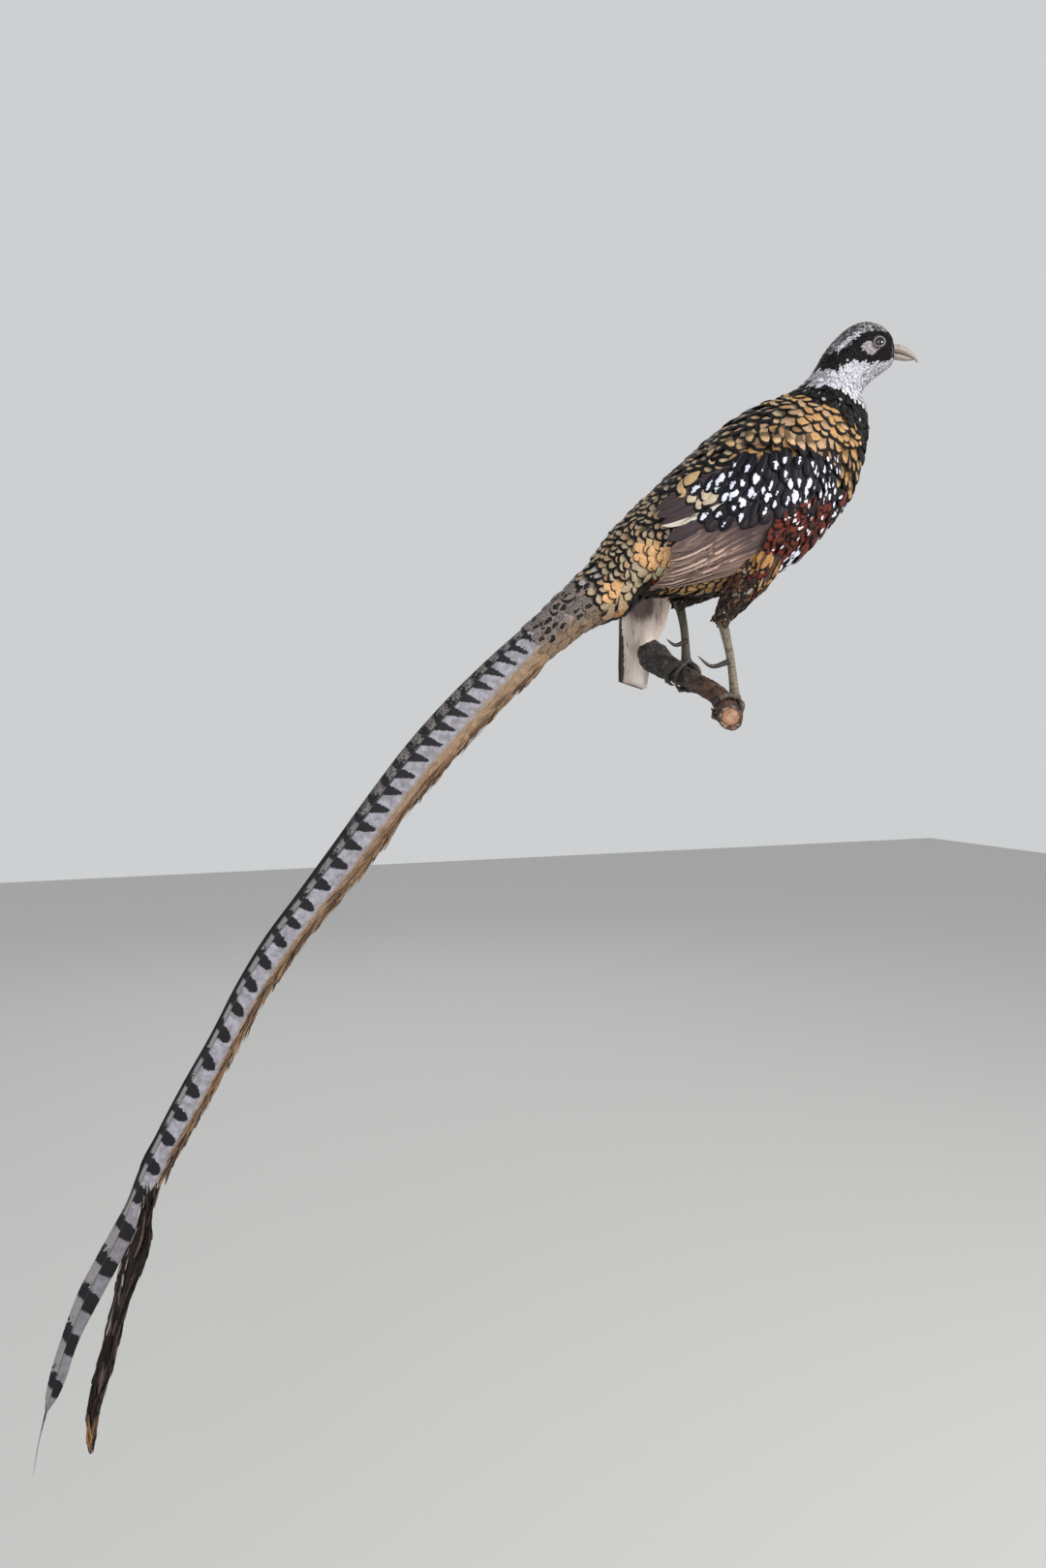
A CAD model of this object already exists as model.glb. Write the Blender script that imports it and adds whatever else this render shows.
"""A mounted cock Reeves's pheasant on its wall perch: the log, the branch, and the bird in full plumage."""

import itertools
import math

import bmesh
import bpy
import numpy as np
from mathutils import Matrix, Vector, noise


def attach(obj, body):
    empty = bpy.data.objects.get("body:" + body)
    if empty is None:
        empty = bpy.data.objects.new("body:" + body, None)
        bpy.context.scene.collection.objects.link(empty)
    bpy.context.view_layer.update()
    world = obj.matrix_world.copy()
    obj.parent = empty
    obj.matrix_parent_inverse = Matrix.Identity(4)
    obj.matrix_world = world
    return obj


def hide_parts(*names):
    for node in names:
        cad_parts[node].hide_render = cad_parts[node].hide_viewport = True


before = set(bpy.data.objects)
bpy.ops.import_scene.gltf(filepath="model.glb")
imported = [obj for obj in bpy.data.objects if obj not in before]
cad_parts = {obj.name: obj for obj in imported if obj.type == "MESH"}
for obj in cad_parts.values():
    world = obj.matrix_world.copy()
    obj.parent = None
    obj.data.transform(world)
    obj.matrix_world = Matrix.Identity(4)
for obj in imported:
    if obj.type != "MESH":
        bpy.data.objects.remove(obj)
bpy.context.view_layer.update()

# ---------------------------------------------------------------- the log
# A short length of weathered wood, split flat at the back so that it lies against the wall. Most of
# its bark is gone, and what is left runs down its left edge. Both ends are sawn.

MM = 0.001  # the tables of the wood and of the bird are in millimetres
SAME_PLACE = 1e-6  # metres, where a rolled surface meets itself
SHARP_ANGLE = 62  # degrees over which an edge isn't shaded smooth

LOG_ROWS = [  # height, middle, half width
    (-46, -9.5, 15.5), (-25, -8.5, 17), (0, -4, 21), (22, 3, 28), (45, 7, 31), (68, 8, 30), (84, 9, 28),
]
LOG_STAIN = (-17, -30, 46)  # the middle of its dark stain
LOG_DEPTH = 38
LOG_WIDEST = 31
LOG_SLIMMING = 0.2  # how much depth it loses where it is narrower
LOG_SLANT = 0.28  # how far its lower end is sawn off the square
LOG_STEPS = 90
LOG_ROUND_STEPS = 72
LOG_BACK_STEPS = 10
LOG_GRAIN = [((1, 1, 0.12), 3.2, 0.5, 0), ((1, 1, 0.35), 11, 1.6, 5)]  # stretch, size, depth, seed


class Field:
    """What a shader node gives out. Sums on it read as Python and add their own nodes."""

    def __init__(self, finish, socket):
        self.finish = finish
        self.socket = socket

    def maths(self, operation, *values):
        return self.finish.node("ShaderNodeMath", {"operation": operation}, dict(enumerate(values)))

    def __add__(self, other):
        return self.maths("ADD", self, other)

    def __sub__(self, other):
        return self.maths("SUBTRACT", self, other)

    def __rsub__(self, other):
        return self.maths("SUBTRACT", other, self)

    def __mul__(self, other):
        return self.maths("MULTIPLY", self, other)

    def __truediv__(self, other):
        return self.maths("DIVIDE", self, other)

    def __pow__(self, other):
        return self.maths("POWER", self, other)

    def __abs__(self):
        return self.maths("ABSOLUTE", self)

    __radd__ = __add__
    __rmul__ = __mul__

    def largest(self, other):
        return self.maths("MAXIMUM", self, other)

    def part(self):
        """What is left of it after the last whole number."""
        return self.maths("FRACT", self)

    def wave(self):
        return self.maths("SINE", self)

    def rise(self, low, high):
        """0 below low, 1 above high and a smooth rise between them."""
        return self.finish.node(
            "ShaderNodeMapRange",
            {"interpolation_type": "SMOOTHSTEP"},
            {"Value": self, "From Min": low, "From Max": high},
        )


class Finish:
    """One material, with a shader whose even values are given and whose varying ones are fed."""

    def __init__(self, name, **even):
        self.material = bpy.data.materials.new(name)
        self.material.use_nodes = True
        self.tree = self.material.node_tree
        self.shader = self.tree.nodes["Principled BSDF"]
        for label, value in even.items():
            self.shader.inputs[label.replace("_", " ")].default_value = value

    def node(self, kind, settings=None, inputs=None, out=0):
        made = self.tree.nodes.new(kind)
        for label, value in (settings or {}).items():
            setattr(made, label, value)
        for label, value in (inputs or {}).items():
            if isinstance(value, Field):
                self.tree.links.new(value.socket, made.inputs[label])
            else:
                made.inputs[label].default_value = value
        return Field(self, made.outputs[out])

    def feed(self, label, field):
        self.tree.links.new(field.socket, self.shader.inputs[label])

    def place(self):
        return self.node("ShaderNodeTexCoord", out="Object")

    def stretched(self, *scale):
        return self.node("ShaderNodeMapping", inputs={"Vector": self.place(), "Scale": scale})

    def depth(self):
        """The place's distance from the wall: 0 on it, and below 0 in front of it."""
        return self.node("ShaderNodeSeparateXYZ", inputs={0: self.place()}, out=1)

    def away_from(self, at):
        """The place's distance from a point that is given in millimetres."""
        ends = {0: self.place(), 1: tuple(part * MM for part in at)}
        return self.node("ShaderNodeVectorMath", {"operation": "DISTANCE"}, ends, out="Value")

    def speckle(self, scale, detail=3.0, where=None, rough=0.6):
        return self.node(
            "ShaderNodeTexNoise",
            inputs={"Vector": where or self.place(), "Scale": scale, "Detail": detail, "Roughness": rough},
        )

    def across(self, name):
        """The two coordinates of one of the piece's own maps."""
        spot = self.node("ShaderNodeUVMap", {"uv_map": name})
        return [self.node("ShaderNodeSeparateXYZ", inputs={0: spot}, out=k) for k in (0, 1)]

    def lines(self, across, along):
        """Coordinates for a speckle that is drawn out into lines."""
        return self.node("ShaderNodeCombineXYZ", inputs={0: across, 1: along})

    def painted(self, name, out="Color"):
        return self.node("ShaderNodeAttribute", {"attribute_name": name}, out=out)

    def mix(self, share, first, second, blend="MIX"):
        settings = {"data_type": "RGBA", "blend_type": blend, "clamp_factor": True}
        return self.node("ShaderNodeMix", settings, {0: share, 6: first, 7: second}, out=2)

    def layers(self, colour, *over):
        """A colour with others laid over it. Each comes with the share of it that shows."""
        for share, upper in over:
            colour = self.mix(share, colour, upper)
        return colour

    def coloured(self, colour, *over):
        self.feed("Base Color", self.layers(colour, *over))

    def bump(self, height, deep, strength):
        raised = {"Height": height, "Distance": deep, "Strength": strength}
        self.feed("Normal", self.node("ShaderNodeBump", inputs=raised))


def tone(red, green, blue):
    """A colour as a paint chart gives it, 0 to 255, for a shader."""
    return tuple(
        part / 12.92 if part <= 0.04045 else ((part + 0.055) / 1.055) ** 2.4
        for part in (red / 255, green / 255, blue / 255)
    ) + (1.0,)


def rolled(places, paint=(0.5, 0.5, 0.5, 1.0), ring=False):
    """A grid rolled into a tube: places[i][j] is the point, in millimetres, at step i along it and
    j round it, and the last j repeats the first. paint is one colour, or one for each point. Its
    ends are filled, unless it is a ring."""
    along, around = places.shape[0] - 1, places.shape[1] - 1
    paint = np.broadcast_to(np.asarray(paint, float), places.shape[:2] + (4,))
    made = bmesh.new()
    made.loops.layers.uv.new("Wrap")
    marked = made.verts.layers.float_color.new("Marking")
    bmesh.ops.create_grid(made, x_segments=along, y_segments=around, size=1.0, calc_uvs=True)
    for vert in made.verts:
        i = round((vert.co.x + 1) / 2 * along)
        j = round((vert.co.y + 1) / 2 * around)
        vert.co = Vector(places[i, j] * MM)
        vert[marked] = paint[i, j]
    bmesh.ops.remove_doubles(made, verts=made.verts, dist=SAME_PLACE)
    if not ring:
        rims = [edge for edge in made.edges if edge.is_boundary]
        bmesh.ops.holes_fill(made, edges=rims, sides=0)
    bmesh.ops.recalc_face_normals(made, faces=made.faces)
    for face in made.faces:
        face.smooth = True
    return made


def piece(name, made, finishes, slot, *nodes):
    """The finished piece, riding on the object's one body in place of CAD nodes."""
    if isinstance(made, bmesh.types.BMesh):
        mesh = bpy.data.meshes.new(name)
        made.to_mesh(mesh)
        made.free()
    else:
        mesh = made
    obj = bpy.data.objects.new(name, mesh)
    bpy.context.scene.collection.objects.link(obj)
    for finish in finishes:
        mesh.materials.append(finish.material)
    mesh.set_sharp_from_angle(angle=math.radians(SHARP_ANGLE))
    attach(obj, "root")
    if nodes:
        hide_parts(*nodes)
    return obj


def wobble(points, size, deep, seed):
    """How far each point, in millimetres, moves on a rough surface with bumps of that size."""
    flat = points.reshape(-1, 3) / size + seed
    return np.array([noise.noise(Vector(at)) for at in flat]).reshape(points.shape[:-1]) * deep


def columns(table):
    return [np.array([row[k] for row in table], float) for k in range(len(table[0]))]


log_heights, log_middles, log_halves = columns(LOG_ROWS)
log_shares = np.linspace(0, 1, len(LOG_ROWS))
up_log = np.linspace(0, 1, LOG_STEPS + 1)[:, None]
half = np.interp(up_log, log_shares, log_halves)
deep = LOG_DEPTH - LOG_SLIMMING * (LOG_WIDEST - half)
front = np.linspace(-90, 90, LOG_ROUND_STEPS + 1)[None, :]
back = np.linspace(1, -1, LOG_BACK_STEPS + 1)[None, 1:]
side_share = np.concatenate([np.sin(np.radians(front)), back], 1)
depth_share = np.concatenate([np.cos(np.radians(front)), 0 * back], 1)
log_width = np.interp(up_log, log_shares, log_middles) + half * side_share
log_height = np.interp(up_log, log_shares, log_heights)
log_at = np.stack(np.broadcast_arrays(log_width, -deep * depth_share, log_height), -1)
grain = sum(wobble(log_at * np.array(stretch), *rest) for stretch, *rest in LOG_GRAIN)
inward = np.minimum(grain - 0.9, 0.0) * (depth_share > 0.05)  # cracks, but none on the split face
log_at[..., 0] += inward * side_share
log_at[..., 1] -= inward * depth_share
log_at[..., 1] = np.minimum(log_at[..., 1], 0)
log_at[..., 2] -= LOG_SLANT * (log_at[..., 0] - log_at[..., 0].min()) * (1 - up_log) ** 3

weathered = Finish("weathered_wood", Roughness=0.78)
fibres = weathered.speckle(1.0, 6, weathered.stretched(420, 420, 26))
stains = weathered.speckle(38, 3, weathered.stretched(1, 1, 0.45))
flaws = weathered.speckle(1.0, 4, weathered.stretched(150, 150, 34), 0.7)
blotches = weathered.speckle(17, 4, weathered.stretched(1.3, 1.3, 0.7), 0.65)
depth_in = weathered.depth()
bark_left = (depth_in + stains * 0.03 + weathered.speckle(160, 3) * 0.012).rise(0.0095, 0.012)
bark_left = bark_left * (1 - depth_in.rise(-0.0007, -0.0003))  # but none on the split face
stain_here = 1 - (weathered.away_from(LOG_STAIN) + stains * 0.024 + flaws * 0.012).rise(0.034, 0.046)
log_bark = weathered.mix(fibres.rise(0.4, 0.7), tone(34, 26, 22), tone(88, 70, 60))
weathered.coloured(
    tone(216, 198, 186),
    (fibres.rise(0.3, 0.7), tone(240, 229, 220)),
    (stains.rise(0.46, 0.66) * 0.36, tone(164, 132, 120)),
    (blotches.rise(0.5, 0.6) * 0.36, tone(156, 130, 120)),
    ((1 - blotches.rise(0.36, 0.46)) * 0.7, tone(246, 238, 230)),
    (flaws.rise(0.58, 0.7) * 0.7, tone(70, 52, 44)),
    (stain_here * 0.85, tone(78, 58, 60)),
    (bark_left, log_bark),
)
weathered.bump(fibres * 0.5 + flaws * 0.8, 0.0009, 0.5)
piece("log", rolled(log_at), [weathered], "bleached_wood", "perch_log")

# ---------------------------------------------------------------- the branch
# The perch is a dark branch that the log grew, with its bark on. It runs out from the wall, turns
# down a little and is sawn off, so its pale end grain shows inside a ring of bark.

BRANCH_LINE = [(2, -16, -10), (4, -60, -29.5), (12, -108, -49), (22, -143, -66), (23, -175, -95.5)]
BRANCH_RADII = [17.5, 18.4, 15.4, 12.6, 11.5, 10.8, 10.6, 12.4, 13.8]
BRANCH_CUT = (23, -168, -89)
BRANCH_CUT_FACES = (-0.3, -0.92, -0.25)
BRANCH_STEPS = 120
BRANCH_SIDES = 56
BARK_THICKNESS = 1.3
BARK_LUMPS = [(11, 1.3, 0), (4, 0.8, 3), (1.7, 0.35, 9)]  # size, depth, seed
LINE_STEPS = 1500  # how finely a line is measured before it is cut evenly


def curve_at(points, share):
    """A smooth line through points, at shares of its points from 0 to 1."""
    points = np.asarray(points, float)
    share = np.atleast_1d(np.asarray(share, float))
    at = share * (len(points) - 1)
    i = np.clip(np.floor(at).astype(int), 0, len(points) - 2)
    t = (at - i)[:, None]
    held = np.vstack([2 * points[0] - points[1], points, 2 * points[-1] - points[-2]])
    before, start, end, after = held[i], held[i + 1], held[i + 2], held[i + 3]
    steps = (start - before, end - start, after - end)
    gap = [np.sqrt(np.linalg.norm(step, axis=1))[:, None] for step in steps]
    slopes = [step / length for step, length in zip(steps, gap)]
    leave = (slopes[0] - (end - before) / (gap[0] + gap[1]) + slopes[1]) * gap[1]
    arrive = (slopes[1] - (after - start) / (gap[1] + gap[2]) + slopes[2]) * gap[1]
    square = 3 * (end - start) - 2 * leave - arrive
    cube = 2 * (start - end) + leave + arrive
    return start + leave * t + square * t**2 + cube * t**3


def run_along(line):
    """How far each point of a line is from its start, along it."""
    return np.concatenate([[0], np.cumsum(np.linalg.norm(np.diff(line, axis=0), axis=1))])


def even_line(points, count):
    """A smooth line through points as count places, evenly spaced."""
    fine = curve_at(points, np.linspace(0, 1, LINE_STEPS))
    run = run_along(fine)
    at = np.linspace(0, run[-1], count)
    return np.stack([np.interp(at, run, fine[:, k]) for k in range(3)], 1)


def unit(vectors):
    return vectors / np.maximum(np.linalg.norm(vectors, axis=-1, keepdims=True), 1e-9)


def frames_on(line, first_side):
    """A side of a line that turns as little as it can, and the direction square to both."""
    ahead = unit(np.gradient(line, axis=0))
    sides = [first_side]
    for way in ahead:
        last = sides[-1]
        sides.append(unit(last - way * np.dot(last, way)))
    side = np.array(sides[1:])
    return side, np.cross(ahead, side)


def full_turn(steps):
    return np.linspace(0, 2 * math.pi, steps + 1)


def rings_on(line, side, other, radii, turns, flat=1.0, swell=0.0):
    """Rings of points round a line. swell is added to the radius, one value for each point."""
    radius = np.interp(np.linspace(0, 1, len(line)), np.linspace(0, 1, len(radii)), radii)[:, None]
    angle = full_turn(turns)[None, :, None]
    out = np.cos(angle) * side[:, None] + np.sin(angle) * other[:, None] * flat
    return line[:, None] + out * (radius + swell)[..., None]


def limb_rings(line, radii, turns, first_side, flat=1.0, swell=0.0):
    return rings_on(line, *frames_on(line, np.array(first_side, float)), radii, turns, flat, swell)


branch_line = even_line(BRANCH_LINE, BRANCH_STEPS + 1)
smooth_branch = limb_rings(branch_line, BRANCH_RADII, BRANCH_SIDES, (1, 0, 0))
bark_out = unit(smooth_branch - branch_line[:, None])
bark_lumps = sum(wobble(smooth_branch, *lump) for lump in BARK_LUMPS)
bark_lumps[:, -1] = bark_lumps[:, 0]
branch = rolled(smooth_branch + bark_out * (bark_lumps - 0.4)[..., None])
cut_faces = Vector(BRANCH_CUT_FACES).normalized()
bmesh.ops.bisect_plane(
    branch,
    geom=branch.verts[:] + branch.edges[:] + branch.faces[:],
    plane_co=Vector(BRANCH_CUT) * MM,
    plane_no=cut_faces,
    clear_outer=True,
)
rim = [edge for edge in branch.edges if edge.is_boundary]
sawn = bmesh.ops.holes_fill(branch, edges=rim, sides=0)["faces"]
bmesh.ops.inset_region(branch, faces=sawn, thickness=BARK_THICKNESS * MM, use_even_offset=True)
for face in sawn:
    face.material_index = 1
    face.smooth = False
bmesh.ops.recalc_face_normals(branch, faces=branch.faces)

bark = Finish("dark_bark", Roughness=0.72)
ridges = bark.speckle(1.0, 6, bark.stretched(260, 90, 200), 0.68)
patches = bark.speckle(60, 4)
root_bark = bark.mix(ridges.rise(0.4, 0.7), tone(26, 22, 21), tone(84, 76, 72))
near_wall = (bark.depth() + patches * 0.03).rise(-0.118, -0.088)
bark.coloured(
    tone(30, 19, 15),
    (ridges.rise(0.36, 0.66), tone(98, 66, 48)),
    (patches.rise(0.56, 0.7) * 0.6, tone(128, 96, 76)),
    (near_wall, root_bark),
)
bark.bump(ridges + patches * 0.5, 0.0012, 0.9)

end_grain = Finish("sawn_end_grain", Roughness=0.7)
from_heart = end_grain.away_from(BRANCH_CUT)
years = (from_heart * 620 + end_grain.speckle(120, 3) * 1.3).part()
rays = end_grain.speckle(900, 2)
sawn_wood = end_grain.mix(years.rise(0.5, 0.95), tone(174, 124, 92), tone(142, 92, 62))
patchy = end_grain.speckle(150, 3)
at_rim = (from_heart + rays * 0.004 + patchy * 0.006).rise(0.0125, 0.0145)
end_grain.coloured(
    tone(100, 62, 42),
    (from_heart.rise(0.0005, 0.0035), sawn_wood),
    (at_rim, tone(60, 42, 34)),
    (patchy.rise(0.5, 0.62) * 0.6, tone(206, 176, 150)),
    (rays.rise(0.46, 0.7) * 0.6, tone(104, 66, 46)),
)
end_grain.bump(rays + years * 0.3, 0.0004, 0.6)
piece("branch", branch, [bark, end_grain], "bark", "perch_branch")

# ---------------------------------------------------------------- the bird's skin
# One skin covers the body from the bill to the tail, the thighs, the bare scaly legs and the toes.
# It is tanned and stretched over a carved form. It lies under the feathers by their depth.

MIDDLE_LINE = [  # the bird's middle seen from above, from the tail's tip to the bill
    (-672, -12, 0), (-514, -13, 0), (-397, -31, 0), (-240, -71, 0), (-77, -107, 0),
    (39, -148, 0), (110, -177, 0), (166, -215, 0), (200, -247, 0),
]
TAIL_REACH = 686.7  # from the tail's tip to over the feet, along that line
OUTLINE = [  # top along and height, underside along and height, half width, from bill to tail
    (203, 297, 203, 280, 6.5), (200, 305, 199, 275, 10.5), (192, 315, 191, 269, 14),
    (183, 320, 185, 265, 16.5), (171, 322, 179, 260.5, 18), (157, 317.5, 173, 254, 19),
    (145, 308, 171, 248, 20.5), (133, 294, 174, 240, 24), (123, 277, 178, 226, 31),
    (110, 260, 178, 208, 40), (92, 249, 174, 182, 51), (68, 240, 161, 142, 62),
    (42, 227, 140, 112, 68), (14, 206, 112, 82, 70), (-18, 178, 76, 60, 69),
    (-50, 148, 30, 44, 62), (-78, 121, -18, 40, 51), (-99, 97, -56, 38, 42),
    (-116, 72, -78, 18, 34), (-138, 50, -108, 8, 27), (-179, 11, -150, -22, 18),
    (-222, -27, -189, -59, 12), (-266, -70, -231, -101, 9.5), (-308, -117, -273, -147, 8),
    (-347, -168, -313, -195, 7), (-386, -222, -352, -247, 6.5), (-424, -274, -394, -296, 6),
    (-456, -317, -427, -338, 5.5), (-484, -363, -457, -381, 5), (-511, -415, -485, -430, 4.5),
    (-541, -467, -514, -482, 4), (-564, -510, -538, -523, 3.7), (-582.5, -547.5, -559.5, -560, 3.4),
    (-594, -577, -571, -590.5, 3),
]
COAT_DEPTH = ([0, 2, 6, 9, 17, 19, 20.6], [1.1, 1.5, 2.2, 3.2, 3.6, 3.2, 2.8])  # at rows of the outline

HIP_RIGHT, HOCK_RIGHT, ANKLE_RIGHT = (60, -32, 84), (12.5, -165, 13.5), (38, -151, -64)
HIP_LEFT, HOCK_LEFT, ANKLE_LEFT = (50, 32, 84), (-6, -107, 37), (13.5, -90, -22)
THIGH_RADII = [29, 26, 22, 17, 12, 8.2]
THIGH_COAT = 2.6
THIGH_STEPS, THIGH_SIDES = 40, 36
KNEE_BEND = (4, 0, 2)
SHANK_RADII = [6.6, 5.4, 4.7, 4.5, 4.5, 4.9, 5.6]
SHANK_FLATNESS = 0.85
SHANK_BOW = 2.5
SHANK_PAST = (3, 2)  # how far it runs on past the hock, and past the ankle
SHANK_SCALES = 19  # rows of plates down the front
SHANK_STEPS, SHANK_SIDES = 150, 30
SHANK_PLATE, TOE_PLATE, PLATE_SINK = 0.4, 0.34, 0.2  # how high plates stand, and how deep they start
TOES_RIGHT = {  # degrees round the branch at the root and at the end, and the drift along it
    "outer": (46, 170, 7), "middle": (50, 218, 0), "inner": (52, 182, -10), "hind": (30, -48, -2),
}
TOES_LEFT = {
    "outer": (-20, -128, -12), "middle": (20, 196, 0), "inner": (24, 160, 9), "hind": (-16, -84, 2),
}
GRIP_RIGHT, GRIP_LEFT = 0.87, 0.47  # where each foot holds the branch, as a share of its length
TOE_RADII = {"outer": 3.7, "middle": 3.9, "inner": 3.4, "hind": 3.5}
TOE_TAPER = [1.1, 1, 0.97, 0.88, 0.78]
TOE_SCALES = {"outer": 15, "middle": 18, "inner": 13, "hind": 8}
TOE_POINTS, TOE_STEPS, TOE_SIDES = 5, 110, 20
TOE_JOINT = 0.26  # how much a toe swells at its joints
TOE_SHADE = (0.44, 0.42, 0.44, 1)  # the toes are darker than the shanks
BALL_RADIUS, BALL_DROP = 6.4, 5.0  # of the foot, and how far its middle is past the ankle
EYE_AT = (187.6, 11.2, 295.6)  # along, to the side, height
EYE_RADIUS = 5.6
LID_FOLDS = [  # degrees off the eye's middle, height over the glass, thickness, colour
    (47, 0.45, 0.5, tone(40, 36, 36)),
    (51, 1.15, 0.5, tone(146, 141, 143)),
    (56, 1.6, 0.45, tone(96, 91, 94)),
]
LID_SIDES, LID_RIM_SIDES = 96, 12
MIDDLE_STEPS = 4001

middle = curve_at(MIDDLE_LINE, np.linspace(0, 1, MIDDLE_STEPS))
middle_run = run_along(middle)


def middle_at(run):
    return np.array([np.interp(run, middle_run, middle[:, k]) for k in (0, 1)])


def place(along, left, height):
    """A place on the bird from its distance along the middle, to the bird's left, and its height."""
    along, left, height = np.broadcast_arrays(np.asarray(along, float), left, height)
    run = along + TAIL_REACH
    held = np.clip(run, 0.5, middle_run[-1] - 0.5)
    ahead = middle_at(held + 0.5) - middle_at(held - 0.5)
    ahead = ahead / np.hypot(*ahead)
    x, y = middle_at(held) + ahead * (run - held) + np.stack([-ahead[1], ahead[0]]) * left
    return np.stack([x, y, height], -1)


def form_of(table):
    """The surface through a table of sections: a row, an angle from the top towards the bird's
    right, and how far out from the outline give a place."""
    rows = len(table) - 1
    top_a, top_h, under_a, under_h, halves = columns(table)

    def surface(row, angle, out=0.0):
        row, angle, out = np.broadcast_arrays(np.asarray(row, float), angle, out)
        share = np.clip(row.ravel() / rows, 0, 1)
        top = curve_at(np.stack([top_a, top_h], 1), share).reshape(row.shape + (2,))
        under = curve_at(np.stack([under_a, under_h], 1), share).reshape(row.shape + (2,))
        up = (top - under) / 2
        tall = np.linalg.norm(up, axis=-1)
        up = up / tall[..., None] * (np.maximum(tall + out, 0.3) * np.cos(angle))[..., None]
        wide = np.maximum(np.interp(row, np.arange(rows + 1), halves) + out, 0.3)
        at = (top + under) / 2 + up
        return place(at[..., 0], -wide * np.sin(angle), at[..., 1])

    return surface


body = form_of(OUTLINE)


def coat_depth(row):
    return np.interp(row, *COAT_DEPTH)


# The markings, which skin and feathers share. Rows count along the outline above, and degrees from
# the middle of the back to the middle of the belly.
MASK_TOP = ([0, 1.1, 1.5, 2, 3, 4, 5, 6, 6.5, 6.9, 9], [0, 8, 46, 54, 58, 62, 68, 60, 38, 0, 0])
MASK_LOW = ([0, 1, 2, 3, 4, 5, 6, 7, 7.4, 7.9, 9], [142, 135, 126, 124, 113, 98, 82, 70, 46, 8, -9])
BROW_MIDDLE = ([3.6, 4.2, 4.8, 5.4, 6.0], [54, 58, 58, 54, 46])
BROW_REACH = 5.0
CHEEK_TOP = ([2.1, 2.7, 3.0, 3.3, 3.9], [98, 92, 86, 80, 84])
CHEEK_LOW = ([2.1, 2.7, 3.3, 3.9], [101, 108, 104, 90])
RING_TOP = ([0, 45, 75, 90, 105, 120, 150, 180], [8.75, 8.6, 8.25, 7.95, 7.75, 7.6, 7.4, 7.2])
RING_LOW = (
    [0, 45, 60, 75, 90, 105, 120, 140, 160, 180],
    [9.6, 9.6, 9.5, 9.4, 9.3, 9.15, 9.0, 9.3, 9.8, 9.95],
)
FLANK_TOP = ([11.2, 11.6, 12.2, 13, 14.2], [128, 112, 103, 106, 146])

WHITE, BLACK = tone(226, 226, 236), tone(10, 8, 10)
CROWN_DARK, CROWN_GREY, CROWN_PALE = tone(44, 41, 44), tone(124, 120, 122), tone(172, 169, 172)
GOLD, SAND, BUFF = tone(206, 160, 104), tone(198, 164, 128), tone(198, 176, 144)
ORANGE, CHESTNUT, DUSK = tone(246, 192, 136), tone(108, 38, 22), tone(32, 23, 21)


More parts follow.
